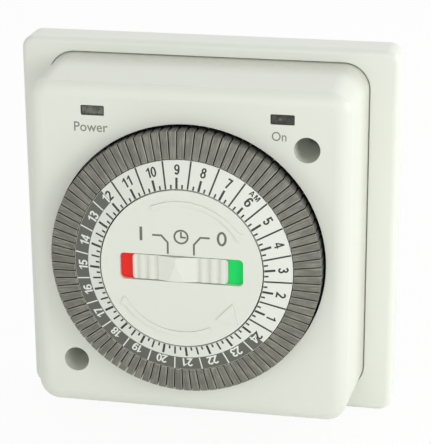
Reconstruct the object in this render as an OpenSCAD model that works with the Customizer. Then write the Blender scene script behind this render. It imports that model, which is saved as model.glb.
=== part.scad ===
// Wall-mounted 24 hour segment time switch on a single gang plate.
//
// Every piece is drawn in a front view: x to the right, y up, z from the wall towards the person
// who stands in front of it, with the axis of the dial at x = 0, y = 0 and the wall at z = 0.
// upright() then turns that view, so that the model stands with +Z up and faces -Y.

/* [Wall plate] */
// Side of the square plate
plate_size = 86; // [84:0.5:88]
// Depth of the plate in front of the wall
plate_depth = 8; // [7.5:0.1:8.5]
// Radius of the plate's corners
plate_corner = 3; // [2:0.5:4]
// Radius of the soft edge round the plate's front
plate_edge = 1.4; // [0.8:0.1:1.8]
// Thickness of the plate's walls
plate_wall = 2.2; // [1.8:0.1:2.6]
// Distance between the two holes for the wall box screws
box_pitch = 60.3; // [60.3]
// Diameter of the holes for the wall box screws
box_hole_d = 4.2; // [3.8:0.1:4.6]
// Depth of the seat in the plate's front that the cover's foot stands in
seat_depth = 1; // [0.6:0.1:1.2]
// Gap between the cover's foot and the side of its seat
seat_gap = 0.25; // [0.2:0.05:0.4]

/* [Cover] */
// Width of the cover at its foot, in the seat
cover_w = 72.8; // [72:0.1:73.5]
// Height of the cover at its foot
cover_h = 77.5; // [77:0.1:78]
// How far the cover's middle lies above the dial's axis
cover_shift = 1; // [0.5:0.1:1.5]
// How much each side leans in between the rim and the front edge
cover_draft = 1.2; // [0.8:0.05:1.4]
// Radius of the cover's corners at the foot
cover_corner = 5.85; // [5:0.05:6.5]
// Gap between the cover's foot and the floor of its seat
cover_gap = 0.4; // [0.3:0.1:0.6]
// Distance from the wall to the cover's face
face_z = 29.6; // [29.2:0.1:30]
// How far the front edge lies behind the face
edge_drop = 1.3; // [0.8:0.1:1.6]
// Width of the curved band between the front edge and the face
edge_band = 3.2; // [2.4:0.1:3.4]
// Thickness of the cover's sides
side_wall = 2; // [1.6:0.1:2.2]
// Thickness of the cover's face
face_wall = 2.2; // [2:0.1:2.4]
// Diameter of the opening for the dial
opening_d = 60.8; // [60.6:0.1:61]
// Diameter of the two wells for the fixing screws
well_d = 5.66; // [5.2:0.1:6]
// Distance of the wells from the dial's axis, sideways and upwards
well_at = 26; // [25.8:0.1:26.2]
// Width of a lamp window
window_w = 5.2; // [4.6:0.1:5.4]
// Height of a lamp window
window_h = 2.25; // [1.8:0.05:2.6]
// Distance of the lamp windows from the middle
window_x = 20.7; // [20:0.1:21.4]
// Height of the lamp windows above the dial's axis
window_y = 32.46; // [32.3:0.02:32.6]

/* [Dial] */
// Diameter of the fixed centre disc
disc_d = 35.6; // [35.2:0.1:35.7]
// Inner diameter of the scale ring
ring_inner_d = 36.2; // [36:0.1:36.4]
// Outer diameter of the scale ring
ring_outer_d = 48.1; // [48:0.1:48.2]
// Diameter over the tappets
tappet_outer_d = 59.86; // [59.6:0.02:60]
// Height of the centre disc above the cover's face
disc_rise = 6.93; // [6.8:0.01:7]
// Fall of the cone for each millimetre of radius
cone_slope = 0.266; // [0.24:0.002:0.28]
// Tappets in an hour
tappets_per_hour = 4; // [4]
// Gap between two tappets
tappet_gap = 0.28; // [0.15:0.01:0.32]
// Width of a tappet's stem
stem_w = 0.9; // [0.8:0.05:0.95]
// How far a tappet is pushed in to switch on
tappet_travel = 2; // [1.6:0.1:2]
// Radius on the outer top edge of a tappet
tappet_round = 0.3; // [0.2:0.05:0.6]
// Angle of the border between hour 3 and hour 4, from the right and anticlockwise
first_border = 10; // [8:0.5:12]

/* [Override slider] */
// Width of the slot in the centre disc
slot_w = 27.1; // [26.9:0.1:27.3]
// Height of the slot
slot_h = 6; // [5.8:0.1:6.2]
// Depth of the slot's floor below the face of the centre disc
slot_depth = 1.1; // [1:0.05:1.2]
// Width of the knob
knob_w = 21; // [20.6:0.1:21]
// How far the knob's middle lies beside its stem
knob_x = -0.3; // [-0.3:0.05:0.3]
// Travel of the knob to either side
slider_travel = 2.6; // [2.4:0.1:2.6]
// Height of the knob's ridge above the centre disc
knob_rise = 0.75; // [0.5:0.05:1]
// Sideways place of the knob's ridge
ridge_x = -1.1; // [-1.3:0.05:-0.6]

/* [Mechanism] */
// Size of the gear teeth, as pitch diameter over number of teeth
gear_module = 0.5; // [0.5]
// Teeth of the gear under the dial
dial_teeth = 72; // [72]
// Teeth of the idler's wheel
wheel_teeth = 48; // [48]
// Teeth of the idler's pinion and of the motor's pinion
pinion_teeth = 12; // [12]
// Play that each flank gives up at the pitch circle
flank_play = 0.03; // [0.02:0.005:0.04]
// Direction from the dial's axis to the idler, a whole number of dial teeth
idler_at = 150; // [150]
// Direction from the idler to the motor's pinion, a whole number of wheel teeth
pinion_at = -75; // [-75]
// Diameter of the motor's can
motor_d = 30; // [28:0.5:30]
// Outer radius of the hollow post that the dial turns on
post_r = 7; // [6.9:0.05:7]
// Running clearance of the turning pieces, on the radius
running = 0.05; // [0.03:0.01:0.08]

/* [Hidden] */
$fn = 96;

// Cover: radii of its corners at the rim, at the front edge and where the curved band ends
seat_z = plate_depth - seat_depth;
rim_z = seat_z + cover_gap;
crisp_z = face_z - edge_drop;
crisp_r = cover_corner - cover_draft;
band_end = crisp_r - edge_band;
band_radius = (edge_band * edge_band + edge_drop * edge_drop) / (2 * edge_drop);
cavity_r = cover_corner - side_wall;
under_face = face_z - face_wall;
well_r = well_d / 2;
wells = [[well_at, well_at], [-well_at, -well_at]];
case_posts = [[-30, 34], [30, 34], [-30, -31.4], [30, -31.4]];
deck_legs = [[-30.5, 14], [29.5, 14], [-24, -32.6], [8, -32.6]];

// Overlap of pieces of one moulding, so that they make one solid, and reach of a cut past a face
joint_lap = 0.1;
past = 1;

// Radii of the holes for the screws, from the long fixing screws to the small screws of the works
fixing_clear = 1.9;
fixing_pilot = 1.75;
case_clear = 1.2;
case_pilot = 1;
works_clear = 0.85;
works_pilot = 0.8;

// Heights of the layers behind the face
rear_z = plate_depth + 0.8;
rear_t = 1.5;
rear_top = rear_z + rear_t;
deck_z = 18.8;
deck_t = 1.4;
deck_top = deck_z + deck_t;
deck_seat = deck_top - 0.9;
wheel_z = deck_top + 0.3;
wheel_t = 1.4;
flange_z = 22.4;
flange_t = 0.5;
dial_gear_z = flange_z + flange_t + 0.05;
dial_gear_t = 1.2;
floor_z = 24.8;
floor_t = 1.2;
floor_top = floor_z + floor_t;
pinion_top = floor_z - 0.5;
hub_top = 28;
hub_wall = 1.6;
boss_z = hub_top + 0.3;
post_top = 32.6;
post_bore = 5.7;

// Dial
disc_r = disc_d / 2;
disc_z = face_z + disc_rise;
disc_under = disc_z - 1.6;
relief = 0.3;
ring_t = 1;
ring_in = ring_inner_d / 2;
ring_out = ring_outer_d / 2;
tappet_in = ring_out + 0.2;
tappet_out = tappet_outer_d / 2;
hour = 15;
tappet_pitch = hour / tappets_per_hour;
tappet_foot_t = 0.5;
tappet_foot_z = floor_z - 0.05 - tappet_foot_t;
shoulder_z = floor_top + tappet_travel + 0.1;
slot_in = 25.5;
slot_out = 28.5;
stem_play = 0.1;
foot_grip = 0.3;

// Override slider
tray_z = 34.2;
flag_t = 0.22;
tray_top = disc_z - slot_depth;
slot_corner = 1;
stem_x = 2;
stem_y = 1.3;
stem_gap = 0.15;
knob_gap = 0.2;
knob_base = tray_top + flag_t + 0.1;
rib_z = disc_z - 0.15;
rib_drop = 0.22;
ridge_z = disc_z + knob_rise;
ridge_cut_tilt = 5;
ridge_cut_y = 1.35;
rib_lines = [-9.3, -7.3, -5.1, 4.1, 6.3, 8.5];

// Gears
axle_r = 1;
dial_pitch_r = gear_module * dial_teeth / 2;
wheel_pitch_r = gear_module * wheel_teeth / 2;
pinion_pitch_r = gear_module * pinion_teeth / 2;
idler_r = dial_pitch_r + pinion_pitch_r;
idler_xy = idler_r * [cos(idler_at), sin(idler_at)];
motor_r = wheel_pitch_r + pinion_pitch_r;
pinion_xy = idler_xy + motor_r * [cos(pinion_at), sin(pinion_at)];
half_pinion_tooth = 180 / pinion_teeth;
pressure_angle = 20;

// Motor and switch
motor_xy = [-11, -12];
motor_z = rear_top + 0.1;
motor_top = 18.7;
ear_at = 17.6;
shaft_r = 1.2;
switch_xy = [15, -9];
switch_z = rear_top + 0.1;
switch_top = 15;
lever_z = 16.9;
lever_t = 1.2;
lever_axis = [29.5, 17];
lever_pin_r = 0.8;
lever_eyes = [-20.9, -6.7];
nose_xy = [19.4, -18.8];
nose_turn = -44;
plunger_x = 12;
plunger_r = 0.9;
plunger_top = lever_z - 0.1;

// Lamp board
board_y = 34.2;
board_z = deck_top + 0.6;
board_t = 1.2;
board_pegs = [[-15, board_y], [15, board_y]];

// Terminals
terminal_pitch = 8;
terminal_y = -18;
socket_y = -29;
block_y = -23.4;
block_w = 42.4;
block_h = 20;
block_front = plate_depth - 0.1;
clamp_w = 5.4;
clamp_l = 5.2;
clamp_z = 1.35;
clamp_top = 5.55;
pin_w = 0.8;
pin_h = 4;
pin_top = rear_top + 1.7;

// ---------------------------------------------------------------- shared shapes

// Turns the front view upright
module upright() {
    rotate([90, 0, 0]) children();
}

// Copies a piece to each of a list of places
module at_each(places) {
    for (p = places)
        translate([p[0], p[1], 0]) children();
}

// A solid between two heights, extruded from its outline
module layer(z0, z1) {
    translate([0, 0, z0]) linear_extrude(z1 - z0) children();
}

// Outline of a rectangle with round corners
module round_rect(w, h, r) {
    square([w - 2 * r, h], center = true);
    square([w, h - 2 * r], center = true);
    for (x = [-1, 1], y = [-1, 1])
        translate([x * (w / 2 - r), y * (h / 2 - r)]) circle(r);
}

// A round rod or tube between two heights; bore 0 leaves it solid
module tube(r, bore, z0, z1) {
    layer(z0, z1) difference() {
        circle(r);
        if (bore > 0) circle(bore);
    }
}

// Carries an edge profile round a rectangle: x of the profile is the distance from the corner centres
module swept_block(w, h, r, z0, z1) {
    dx = w / 2 - r;
    dy = h / 2 - r;
    translate([-dx, -dy, z0]) cube([2 * dx, 2 * dy, z1 - z0]);
    for (half = [0, 180]) rotate(half) {
        translate([dx, dy, 0]) rotate_extrude(angle = 90) children();
        translate([-dx, dy, 0]) rotate(90) rotate_extrude(angle = 90) children();
        translate([dx, dy, 0]) rotate([90, 0, 0]) linear_extrude(2 * dy) children();
        translate([-dx, dy, 0]) rotate([90, 0, 90]) linear_extrude(2 * dx) children();
    }
}

// A square block between two heights, centred on the axis
module block(w, h, z0, z1) {
    layer(z0, z1) square([w, h], center = true);
}

// A screw that points at the wall: head between z_head and z_top, shank down to z_tip, cross slots
module screw(head_r, shank_r, z_tip, z_head, z_top) {
    slot_l = head_r * 1.3;
    slot_t = head_r * 0.26;
    slot_floor = z_top - head_r * 0.25;
    difference() {
        union() {
            tube(head_r, 0, z_head, z_top);
            tube(shank_r, 0, z_tip, z_head);
        }
        for (turn = [0, 90]) rotate(turn) block(slot_l, slot_t, slot_floor, z_top + 1);
    }
}

// Height of the dial's cone at a radius
function cone_z(r) = disc_z - cone_slope * (r - disc_r);

// ---------------------------------------------------------------- gear teeth

// Angle that an involute has turned away from its start where it reaches radius r
function involute_turn(r, base_r) = let (a = acos(base_r / r)) tan(a) * 180 / PI - a;

// Half the angle of a tooth at radius r
function half_tooth(r, teeth, pitch_r, base_r) =
    90 / teeth - flank_play / pitch_r * 180 / PI
    + involute_turn(pitch_r, base_r) - (r > base_r ? involute_turn(r, base_r) : 0);

// Outline of a spur gear with a tooth on the x axis
module gear_outline(teeth, tip_r, root_r) {
    pitch_r = gear_module * teeth / 2;
    base_r = pitch_r * cos(pressure_angle);
    start_r = max(root_r, base_r);
    steps = 3;
    flank = [for (i = [0 : steps]) start_r + (tip_r - start_r) * i / steps];
    radii = root_r < base_r ? concat([root_r], flank) : flank;
    last = len(radii) - 1;
    polygon([for (k = [0 : teeth - 1], side = [-1, 1], i = [0 : last])
        let (r = side < 0 ? radii[i] : radii[last - i],
             a = 360 * k / teeth + side * half_tooth(r, teeth, pitch_r, base_r))
        r * [cos(a), sin(a)]]);
}

// Outline of a pinion at full tooth height
module pinion_outline() {
    gear_outline(pinion_teeth, pinion_pitch_r + gear_module, pinion_pitch_r - gear_module);
}

// Outline of a wheel whose teeth are kept short, so that they clear the roots of a small pinion
module wheel_outline(teeth) {
    gear_outline(teeth, gear_module * (teeth / 2 + 0.6), gear_module * (teeth / 2 - 1.3));
}

// ---------------------------------------------------------------- wall plate

// Edge profile of the plate, with a soft front edge
module plate_profile() {
    square([plate_corner, plate_depth - plate_edge]);
    square([plate_corner - plate_edge, plate_depth]);
    translate([plate_corner - plate_edge, plate_depth - plate_edge]) intersection() {
        circle(plate_edge);
        square(plate_edge);
    }
}

module back_plate() {
    inner = plate_size - 2 * plate_wall;
    boss_top = plate_depth - plate_wall;
    lap_top = boss_top + joint_lap;
    box_boss_r = 4.6;
    box_head_r = 4.1;
    box_head_z = boss_top + 0.6;
    pillar_r = 4;
    pillar_z = 0.4;
    block_play = 0.2;
    rib_t = 1.2;
    rib_low = 1.6;
    rib_y = 10;
    guide_x = 22;
    guide_y = -34;
    guide_l = 21.4;
    guide_low = 1.2;
    color("#E4E6DC") upright() difference() {
        union() {
            difference() {
                swept_block(plate_size, plate_size, plate_corner, 0, plate_depth) plate_profile();
                layer(-past, boss_top) round_rect(inner, inner, 1);
            }
            for (s = [-1, 1]) translate([s * box_pitch / 2, 0, 0]) tube(box_boss_r, 0, 0, lap_top);
            at_each(wells) tube(pillar_r, 0, pillar_z, lap_top);
            for (s = [-1, 1]) translate([s * guide_x - rib_t / 2, guide_y, guide_low])
                cube([rib_t, guide_l, lap_top - guide_low]);
            for (x = [-22.6, 0, 22.6]) translate([x - rib_t / 2, rib_y, rib_low])
                cube([rib_t, inner / 2 - rib_y, lap_top - rib_low]);
            translate([0, rib_y, 0]) block(inner, rib_t, rib_low, lap_top);
        }
        translate([0, block_y, 0]) layer(-past, plate_depth + past)
            round_rect(block_w + 2 * block_play, block_h + 2 * block_play, 0.6);
        translate([0, cover_shift, 0]) layer(seat_z, plate_depth + past)
            round_rect(cover_w + 2 * seat_gap, cover_h + 2 * seat_gap, cover_corner + seat_gap);
        for (s = [-1, 1]) translate([s * box_pitch / 2, 0, 0]) {
            tube(box_hole_d / 2, 0, -past, plate_depth + past);
            tube(box_head_r, 0, box_head_z, plate_depth + past);
        }
        at_each(wells) tube(fixing_pilot, 0, -past, plate_depth + past);
    }
}

module terminal_block() {
    rear = 0.9;
    rib_t = 0.8;
    rib_low = 0.4;
    rib_top = rear + joint_lap;
    port_h = 8.4;
    frame_w = 32;
    frame_h = 6.4;
    screw_well_r = 2.6;
    clamp_play = 0.1;
    color("#33383A") upright() difference() {
        union() {
            translate([0, block_y, 0]) layer(rear, block_front) round_rect(block_w, block_h, 0.5);
            for (i = [-2.5 : 2.5]) translate([i * terminal_pitch, terminal_y, 0])
                block(rib_t, port_h, rib_low, rib_top);
            translate([0, terminal_y - port_h / 2, 0])
                block(5 * terminal_pitch + rib_t, rib_t, rib_low, rib_top);
            translate([0, socket_y, 0]) layer(rib_low, rib_top) difference() {
                round_rect(frame_w, frame_h, 0.6);
                round_rect(frame_w - 2 * rib_t, frame_h - 2 * rib_t, 0.3);
            }
        }
        for (i = [-2 : 2]) translate([i * terminal_pitch, terminal_y, 0]) {
            tube(screw_well_r, 0, clamp_top, plate_depth + past);
            block(clamp_w + 2 * clamp_play, clamp_l + 2 * clamp_play, clamp_z - 0.05, clamp_top + 0.15);
            translate([0, 5, 0]) block(3.8, 6, 1.7, 4.7);
        }
        for (i = [-1.5 : 1.5]) translate([i * terminal_pitch, socket_y, 0])
            block(3, 5.8, 1.5, plate_depth + past);
    }
}

module terminal_clamps() {
    throat_w = 3.6;
    throat_z = 1.9;
    throat_top = 4.6;
    thread_r = 1.35;
    color("#C9A557") upright()
        for (i = [-2 : 2]) translate([i * terminal_pitch, terminal_y, 0]) difference() {
            block(clamp_w, clamp_l, clamp_z, clamp_top);
            block(throat_w, clamp_l + 2 * past, throat_z, throat_top);
            tube(thread_r, 0, throat_top - past, clamp_top + past);
        }
}

module terminal_screws() {
    color("#B9BCBE") upright()
        for (i = [-2 : 2]) translate([i * terminal_pitch, terminal_y, 0])
            screw(2.3, 1.3, 3.6, clamp_top + 0.05, plate_depth - 1.1);
}

module plug_sockets() {
    socket_w = 2.6;
    socket_l = 5.4;
    socket_z = 1.6;
    socket_top = 7.6;
    leaf_gap = 1;
    color("#C9A557") upright()
        for (i = [-1.5 : 1.5]) translate([i * terminal_pitch, socket_y, 0]) difference() {
            block(socket_w, socket_l, socket_z, socket_top);
            block(leaf_gap, pin_h + 0.2, socket_z + 0.8, socket_top + past);
            block(1.8, 4.6, 5.2, 6.2);
        }
}

// ---------------------------------------------------------------- cover and its windows

// Edge profile of the cover: leaning side, front edge and curved band
module cover_profile() {
    polygon([[0, rim_z], [cover_corner, rim_z], [crisp_r, crisp_z], [0, crisp_z]]);
    translate([0, crisp_z]) square([band_end, edge_drop]);
    intersection() {
        translate([band_end, face_z - band_radius]) circle(band_radius);
        translate([0, crisp_z]) square([crisp_r, edge_drop]);
    }
}

// Edge profile of the space inside the cover
module cavity_profile() {
    lean = cover_draft / (crisp_z - rim_z);
    polygon([[0, rim_z - past], [cavity_r + lean * past, rim_z - past],
        [cavity_r - lean * (under_face - rim_z), under_face], [0, under_face]]);
}

module front_cover() {
    rib_w = 1.2;
    rib_x = 32.9;
    skirt = 1.2;
    post_r = 2.3;
    post_z = rear_top + 0.1;
    lap_z = under_face + joint_lap;
    head_seat = rear_z + 3.2;
    color("#E2E5DA") upright() difference() {
        union() {
            translate([0, cover_shift, 0]) difference() {
                swept_block(cover_w, cover_h, cover_corner, rim_z, face_z) cover_profile();
                swept_block(cover_w - 2 * side_wall, cover_h - 2 * side_wall, cavity_r,
                    rim_z - past, under_face) cavity_profile();
            }
            at_each(wells) tube(well_r + skirt, 0, post_z, lap_z);
            at_each(case_posts) tube(post_r, 0, post_z, lap_z);
            tube(opening_d / 2 + skirt, 0, floor_z - 0.2, lap_z);
            for (s = [-1, 1], y = [-12, 12]) translate([s * rib_x, y, 0])
                block(2 * rib_w, rib_w, deck_top + 0.3, lap_z);
        }
        tube(opening_d / 2, 0, rim_z, face_z + past);
        at_each(wells) tube(well_r, 0, head_seat, face_z + past);
        at_each(wells) tube(fixing_clear, 0, rim_z, head_seat + 0.8);
        at_each(case_posts) tube(case_pilot, 0, rim_z, rear_z + 11);
        for (s = [-1, 1]) translate([s * window_x, window_y, 0])
            layer(under_face - past, face_z + past) round_rect(window_w, window_h, 0.3);
    }
}

// A lamp window: a clear bar in the opening, with a flange behind the face
module lamp_window(side) {
    play = 0.04;
    recess = 0.25;
    flange_t = 0.9;
    translate([side * window_x, window_y, 0]) {
        layer(under_face - joint_lap, face_z - recess)
            round_rect(window_w - 2 * play, window_h - 2 * play, 0.25);
        layer(under_face - flange_t, under_face) round_rect(window_w + 1, window_h + 0.5, 0.4);
    }
}

module power_window() {
    color("#69706A") upright() lamp_window(-1);
}

module on_window() {
    color("#69706A") upright() lamp_window(1);
}

module rear_cover() {
    inset = 4.6;
    leg_r = 2.2;
    pad_w = 30;
    pad_h = 5.4;
    pad_top = rear_top + 0.9;
    head_r = 2;
    color("#D9DBD1") upright() difference() {
        union() {
            translate([0, cover_shift, 0])
                layer(rear_z, rear_top) round_rect(cover_w - inset, cover_h - inset, 3.4);
            at_each(deck_legs) tube(leg_r, 0, rear_z, deck_z);
            translate([0, socket_y - 0.9, 0]) layer(rear_z, pad_top) round_rect(pad_w, pad_h, 0.5);
        }
        at_each(wells) tube(fixing_clear, 0, rim_z, rear_top + past);
        at_each(case_posts) tube(case_clear, 0, rim_z, rear_top + past);
        at_each(case_posts) tube(head_r, 0, rim_z, rear_z + 0.7);
        for (i = [-1.5 : 1.5]) translate([i * terminal_pitch, socket_y, 0])
            block(pin_w, pin_h, rear_z - past, pad_top + past);
        at_each(deck_legs) tube(works_pilot, 0, deck_z - 5, deck_z + past);
    }
}

module plug_pins() {
    pin_tip = 3;
    notch = 0.6;
    color("#C9A557") upright()
        for (i = [-1.5 : 1.5]) translate([i * terminal_pitch, socket_y, 0]) difference() {
            block(pin_w, pin_h, pin_tip, pin_top);
            block(2 * pin_w, 1, pin_top - notch, pin_top + past);
        }
}

module case_screws() {
    head_z = rear_z - 0.7;
    color("#B9BCBE") upright() translate([0, 0, 2 * rear_z]) mirror([0, 0, 1])
        at_each(case_posts) screw(1.9, case_pilot, rear_z - 8, head_z, rear_z - 0.05);
}

module fixing_screws() {
    head_z = rear_z + 3.25;
    color("#B9BCBE") upright() at_each(wells) screw(2.6, 1.7, 0.8, head_z, head_z + 2.15);
}

// ---------------------------------------------------------------- works behind the dial

// Centres of the motor's two ears
motor_ears = [for (a = [135, -45]) motor_xy + ear_at * [cos(a), sin(a)]];

module motor() {
    ear_t = 1;
    ear_r = 2.2;
    ear_w = 4;
    box_turn = 100;
    bush_r = 2.8;
    bush_h = 1.2;
    shaft_depth = 3;
    color("#A9ADAF") upright() difference() {
        union() {
            translate(motor_xy) {
                tube(motor_d / 2, 0, motor_z, motor_top);
                rotate(-45) block(2 * ear_at, ear_w, motor_top - ear_t, motor_top);
                rotate(box_turn) translate([13.7, 0, 0]) block(7.4, 8, motor_z, motor_z + 4);
            }
            at_each(motor_ears) tube(ear_r, 0, motor_top - ear_t, motor_top);
            translate(pinion_xy) tube(bush_r, 0, motor_top - joint_lap, motor_top + bush_h);
        }
        at_each(motor_ears) tube(works_clear, 0, motor_top - ear_t - past, motor_top + past);
        translate(pinion_xy)
            tube(shaft_r + running, 0, motor_top - shaft_depth, motor_top + bush_h + past);
    }
}

module works_screws() {
    color("#B9BCBE") upright() {
        translate([0, 0, 2 * motor_top]) mirror([0, 0, 1]) at_each(motor_ears)
            screw(1.6, works_pilot, motor_top - 1.3, motor_top + 1, motor_top + 2.1);
        at_each(deck_legs) screw(1.7, 0.75, deck_z - 4, deck_seat, deck_top + 0.1);
    }
}

module switch_case() {
    body_w = 20;
    body_h = 7;
    base_w = 22;
    base_h = 9;
    base_t = 1.2;
    rivet_x = 7.5;
    color("#2E3234") upright() translate([switch_xy[0], switch_xy[1], 0]) difference() {
        union() {
            layer(switch_z, switch_top) round_rect(body_w, body_h, 0.6);
            layer(switch_z, switch_z + base_t) round_rect(base_w, base_h, 0.8);
        }
        translate([plunger_x - switch_xy[0], 0, 0])
            tube(plunger_r + running, 0, switch_top - 3, switch_top + past);
        for (x = [-rivet_x, rivet_x]) translate([x, 0, 0])
            tube(1, 0, switch_z - past, switch_top + past);
    }
}

module switch_terminals() {
    bar_z = rear_top + 1.4;
    bar_t = 0.6;
    pin_y = -26.9;
    case_y = switch_xy[1] - 3.55;
    color("#C9A557") upright() layer(bar_z, bar_z + bar_t) {
        polygon([[3.6, pin_y], [4.8, pin_y], [4.8, -24.5], [8, -20], [8, case_y],
            [6.8, case_y], [6.8, -19.6], [3.6, -24]]);
        polygon([[11.4, pin_y], [12.6, pin_y], [12.6, -22], [16, -18], [16, case_y],
            [14.8, case_y], [14.8, -17.6], [11.4, -21.5]]);
    }
}

module frame_plate() {
    seat_r = post_r + 1.4;
    bush_r = 2.4;
    eye_w = 3.2;
    eye_t = 1.4;
    eye_z = lever_axis[1] - 1.5;
    peg_r = 0.7;
    below = deck_z - past;
    above = deck_top + past;
    color("#3A3F41") upright() difference() {
        union() {
            translate([0, cover_shift, 0]) layer(deck_z, deck_top) round_rect(65.6, 71, 2.6);
            tube(post_r, 0, deck_z, post_top);
            tube(seat_r, 0, deck_z, flange_z - 0.1);
            translate(idler_xy) tube(bush_r, 0, deck_z - 0.8, wheel_z - 0.1);
            for (y = lever_eyes) translate([lever_axis[0], y, 0])
                block(eye_w, eye_t, eye_z, deck_z + joint_lap);
            at_each(board_pegs) tube(2 * peg_r + 0.1, 0, deck_z, board_z);
            at_each(board_pegs) tube(peg_r, 0, deck_z, board_z + board_t + 0.3);
        }
        tube(post_bore, 0, below, post_top + past);
        at_each(wells) tube(well_r + 1.5, 0, below, above);
        at_each(case_posts) tube(2.6, 0, below, above);
        at_each(deck_legs) tube(works_pilot, 0, below, above);
        at_each(deck_legs) tube(1.75, 0, deck_seat, above);
        at_each(motor_ears) tube(works_pilot, 0, below, above);
        translate(idler_xy) tube(axle_r, 0, below - past, wheel_z + past);
        translate(pinion_xy) tube(4.1, 0, below, above);
        translate([nose_xy[0], nose_xy[1], 0]) rotate(nose_turn)
            layer(below, above) round_rect(5.2, 3.6, 0.6);
        along_lever_axis() tube(lever_pin_r, 0, 5, 30);
    }
}

// Lays a piece along the trip lever's axis: its z runs downwards from the height of the dial's axis
module along_lever_axis() {
    translate([lever_axis[0], 0, lever_axis[1]]) rotate([90, 0, 0]) children();
}

module idler_axle() {
    color("#C4C7C9") upright() translate(idler_xy) tube(axle_r, 0, deck_z - 0.7, floor_z - 0.3);
}

module lever_pin() {
    color("#C4C7C9") upright() along_lever_axis() tube(lever_pin_r, 0, 5.8, 21.8);
}

module circuit_board() {
    color("#4E6B3C") upright() difference() {
        layer(board_z, board_z + board_t) translate([0, board_y]) round_rect(50, 4.8, 0.4);
        at_each(board_pegs) tube(0.75, 0, board_z - past, board_z + board_t + past);
    }
}

module resistors() {
    body_r = 1;
    cap_r = 1.08;
    half_l = 2.4;
    color("#B79A6A") upright()
        for (x = [-9, 0, 9]) translate([x, board_y, board_z + board_t + cap_r]) rotate([0, 90, 0]) {
            tube(body_r, 0, -half_l, half_l);
            for (s = [-1, 1]) translate([0, 0, s * 2.2]) tube(cap_r, 0, -0.5, 0.5);
        }
}

module neon_lamps() {
    lamp_r = 1.35;
    half_l = 2.6;
    lead_x = 2.2;
    lamp_y = window_y + 0.5;
    lamp_z = under_face - 2.6;
    color("#D98A55") upright()
        for (s = [-1, 1]) translate([s * window_x, lamp_y, 0]) {
            translate([0, 0, lamp_z]) rotate([0, 90, 0]) {
                tube(lamp_r, 0, -half_l, half_l);
                translate([0, 0, half_l]) intersection() {
                    sphere(lamp_r);
                    tube(lamp_r, 0, 0, lamp_r);
                }
            }
            for (x = [-lead_x, lead_x]) translate([x, 0, 0]) tube(0.3, 0, board_z + board_t, lamp_z);
        }
}

// ---------------------------------------------------------------- dial

module dial_carrier() {
    hub_r = post_r + running;
    hub_out = hub_r + hub_wall;
    flange_out = hub_out + 0.5;
    flange_top = flange_z + flange_t;
    floor_out = 29.2;
    wall_in = [ring_in + 0.3, ring_in + 1.5];
    wall_out = [ring_out - 1.4, ring_out - 0.15];
    spoke_w = 1;
    spoke_lap = 0.3;
    spoke_top = 33.4;
    color("#E6E8E0") upright() difference() {
        union() {
            rotate_extrude() polygon([
                [hub_r, flange_z], [flange_out, flange_z], [flange_out, flange_top],
                [hub_out, flange_top], [hub_out, floor_z], [floor_out, floor_z],
                [floor_out, floor_top],
                [wall_out[1], floor_top], [wall_out[1], cone_z(wall_out[1]) - ring_t],
                [wall_out[0], cone_z(wall_out[0]) - ring_t], [wall_out[0], floor_top],
                [wall_in[1], floor_top], [wall_in[1], cone_z(wall_in[1]) - ring_t],
                [wall_in[0], cone_z(wall_in[0]) - ring_t], [wall_in[0], floor_top],
                [hub_out, floor_top], [hub_out, hub_top], [hub_r, hub_top]]);
            for (a = [0 : 45 : 315]) rotate(a + first_border)
                translate([wall_in[1] - spoke_lap, -spoke_w / 2, floor_z])
                    cube([wall_out[0] - wall_in[1] + 2 * spoke_lap, spoke_w, spoke_top - floor_z]);
        }
        for (i = [0 : 24 * tappets_per_hour - 1]) rotate(first_border + (i + 0.5) * tappet_pitch)
            translate([(slot_in + slot_out) / 2, 0, 0])
                block(slot_out - slot_in, stem_w + 2 * stem_play, floor_z - past, floor_top + past);
    }
}

module scale_ring() {
    color("#D8DBD2") upright() rotate_extrude() polygon([
        [ring_in, cone_z(ring_in)], [ring_out, cone_z(ring_out)],
        [ring_out, cone_z(ring_out) - ring_t], [ring_in, cone_z(ring_in) - ring_t]]);
}

module dial_gear() {
    hole_r = 2;
    hole_at = 14.3;
    color("#F2F2EE") upright() layer(dial_gear_z, dial_gear_z + dial_gear_t) difference() {
        wheel_outline(dial_teeth);
        circle(post_r + running + hub_wall + 0.05);
        for (a = [0 : 45 : 315]) rotate(a) translate([hole_at, 0]) circle(hole_r);
    }
}

module clutch_spring() {
    inner_r = 9;
    outer_r = 11.8;
    leaf_t = 0.2;
    high = floor_z - 0.02;
    low = dial_gear_z + dial_gear_t + 0.02;
    color("#C4C7C9") upright() rotate_extrude() polygon([
        [inner_r, high - leaf_t], [inner_r, high], [outer_r, low + leaf_t], [outer_r, low]]);
}

// One tappet on the x axis: a sector blade with a rounded outer edge, a stem and a foot
module tappet() {
    blade = tappet_pitch - tappet_gap / ((tappet_in + tappet_out) / 2) * 180 / PI;
    round_xy = [tappet_out - tappet_round, cone_z(tappet_out) - 0.6 * tappet_round];
    stem_l = slot_out - slot_in - 2 * stem_play;
    foot_l = slot_out - slot_in + 2 * foot_grip;
    rotate(-blade / 2) rotate_extrude(angle = blade) polygon(concat(
        [[tappet_in, shoulder_z], [tappet_in, cone_z(tappet_in)]],
        [for (a = [75 : -15 : 0]) round_xy + tappet_round * [cos(a), sin(a)]],
        [[tappet_out, shoulder_z]]));
    translate([(slot_in + slot_out) / 2, 0, 0]) {
        block(stem_l, stem_w, tappet_foot_z, shoulder_z + joint_lap / 2);
        block(foot_l, stem_w, tappet_foot_z, tappet_foot_z + tappet_foot_t);
    }
}

// The tappets of one hour, side by side
module tappets(hour_number) {
    color("#8A8A80") upright()
        for (i = [0 : tappets_per_hour - 1])
            rotate(first_border + (hour_number - 4) * hour + (i + 0.5) * tappet_pitch) tappet();
}

// ---------------------------------------------------------------- gear train and trip lever

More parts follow.
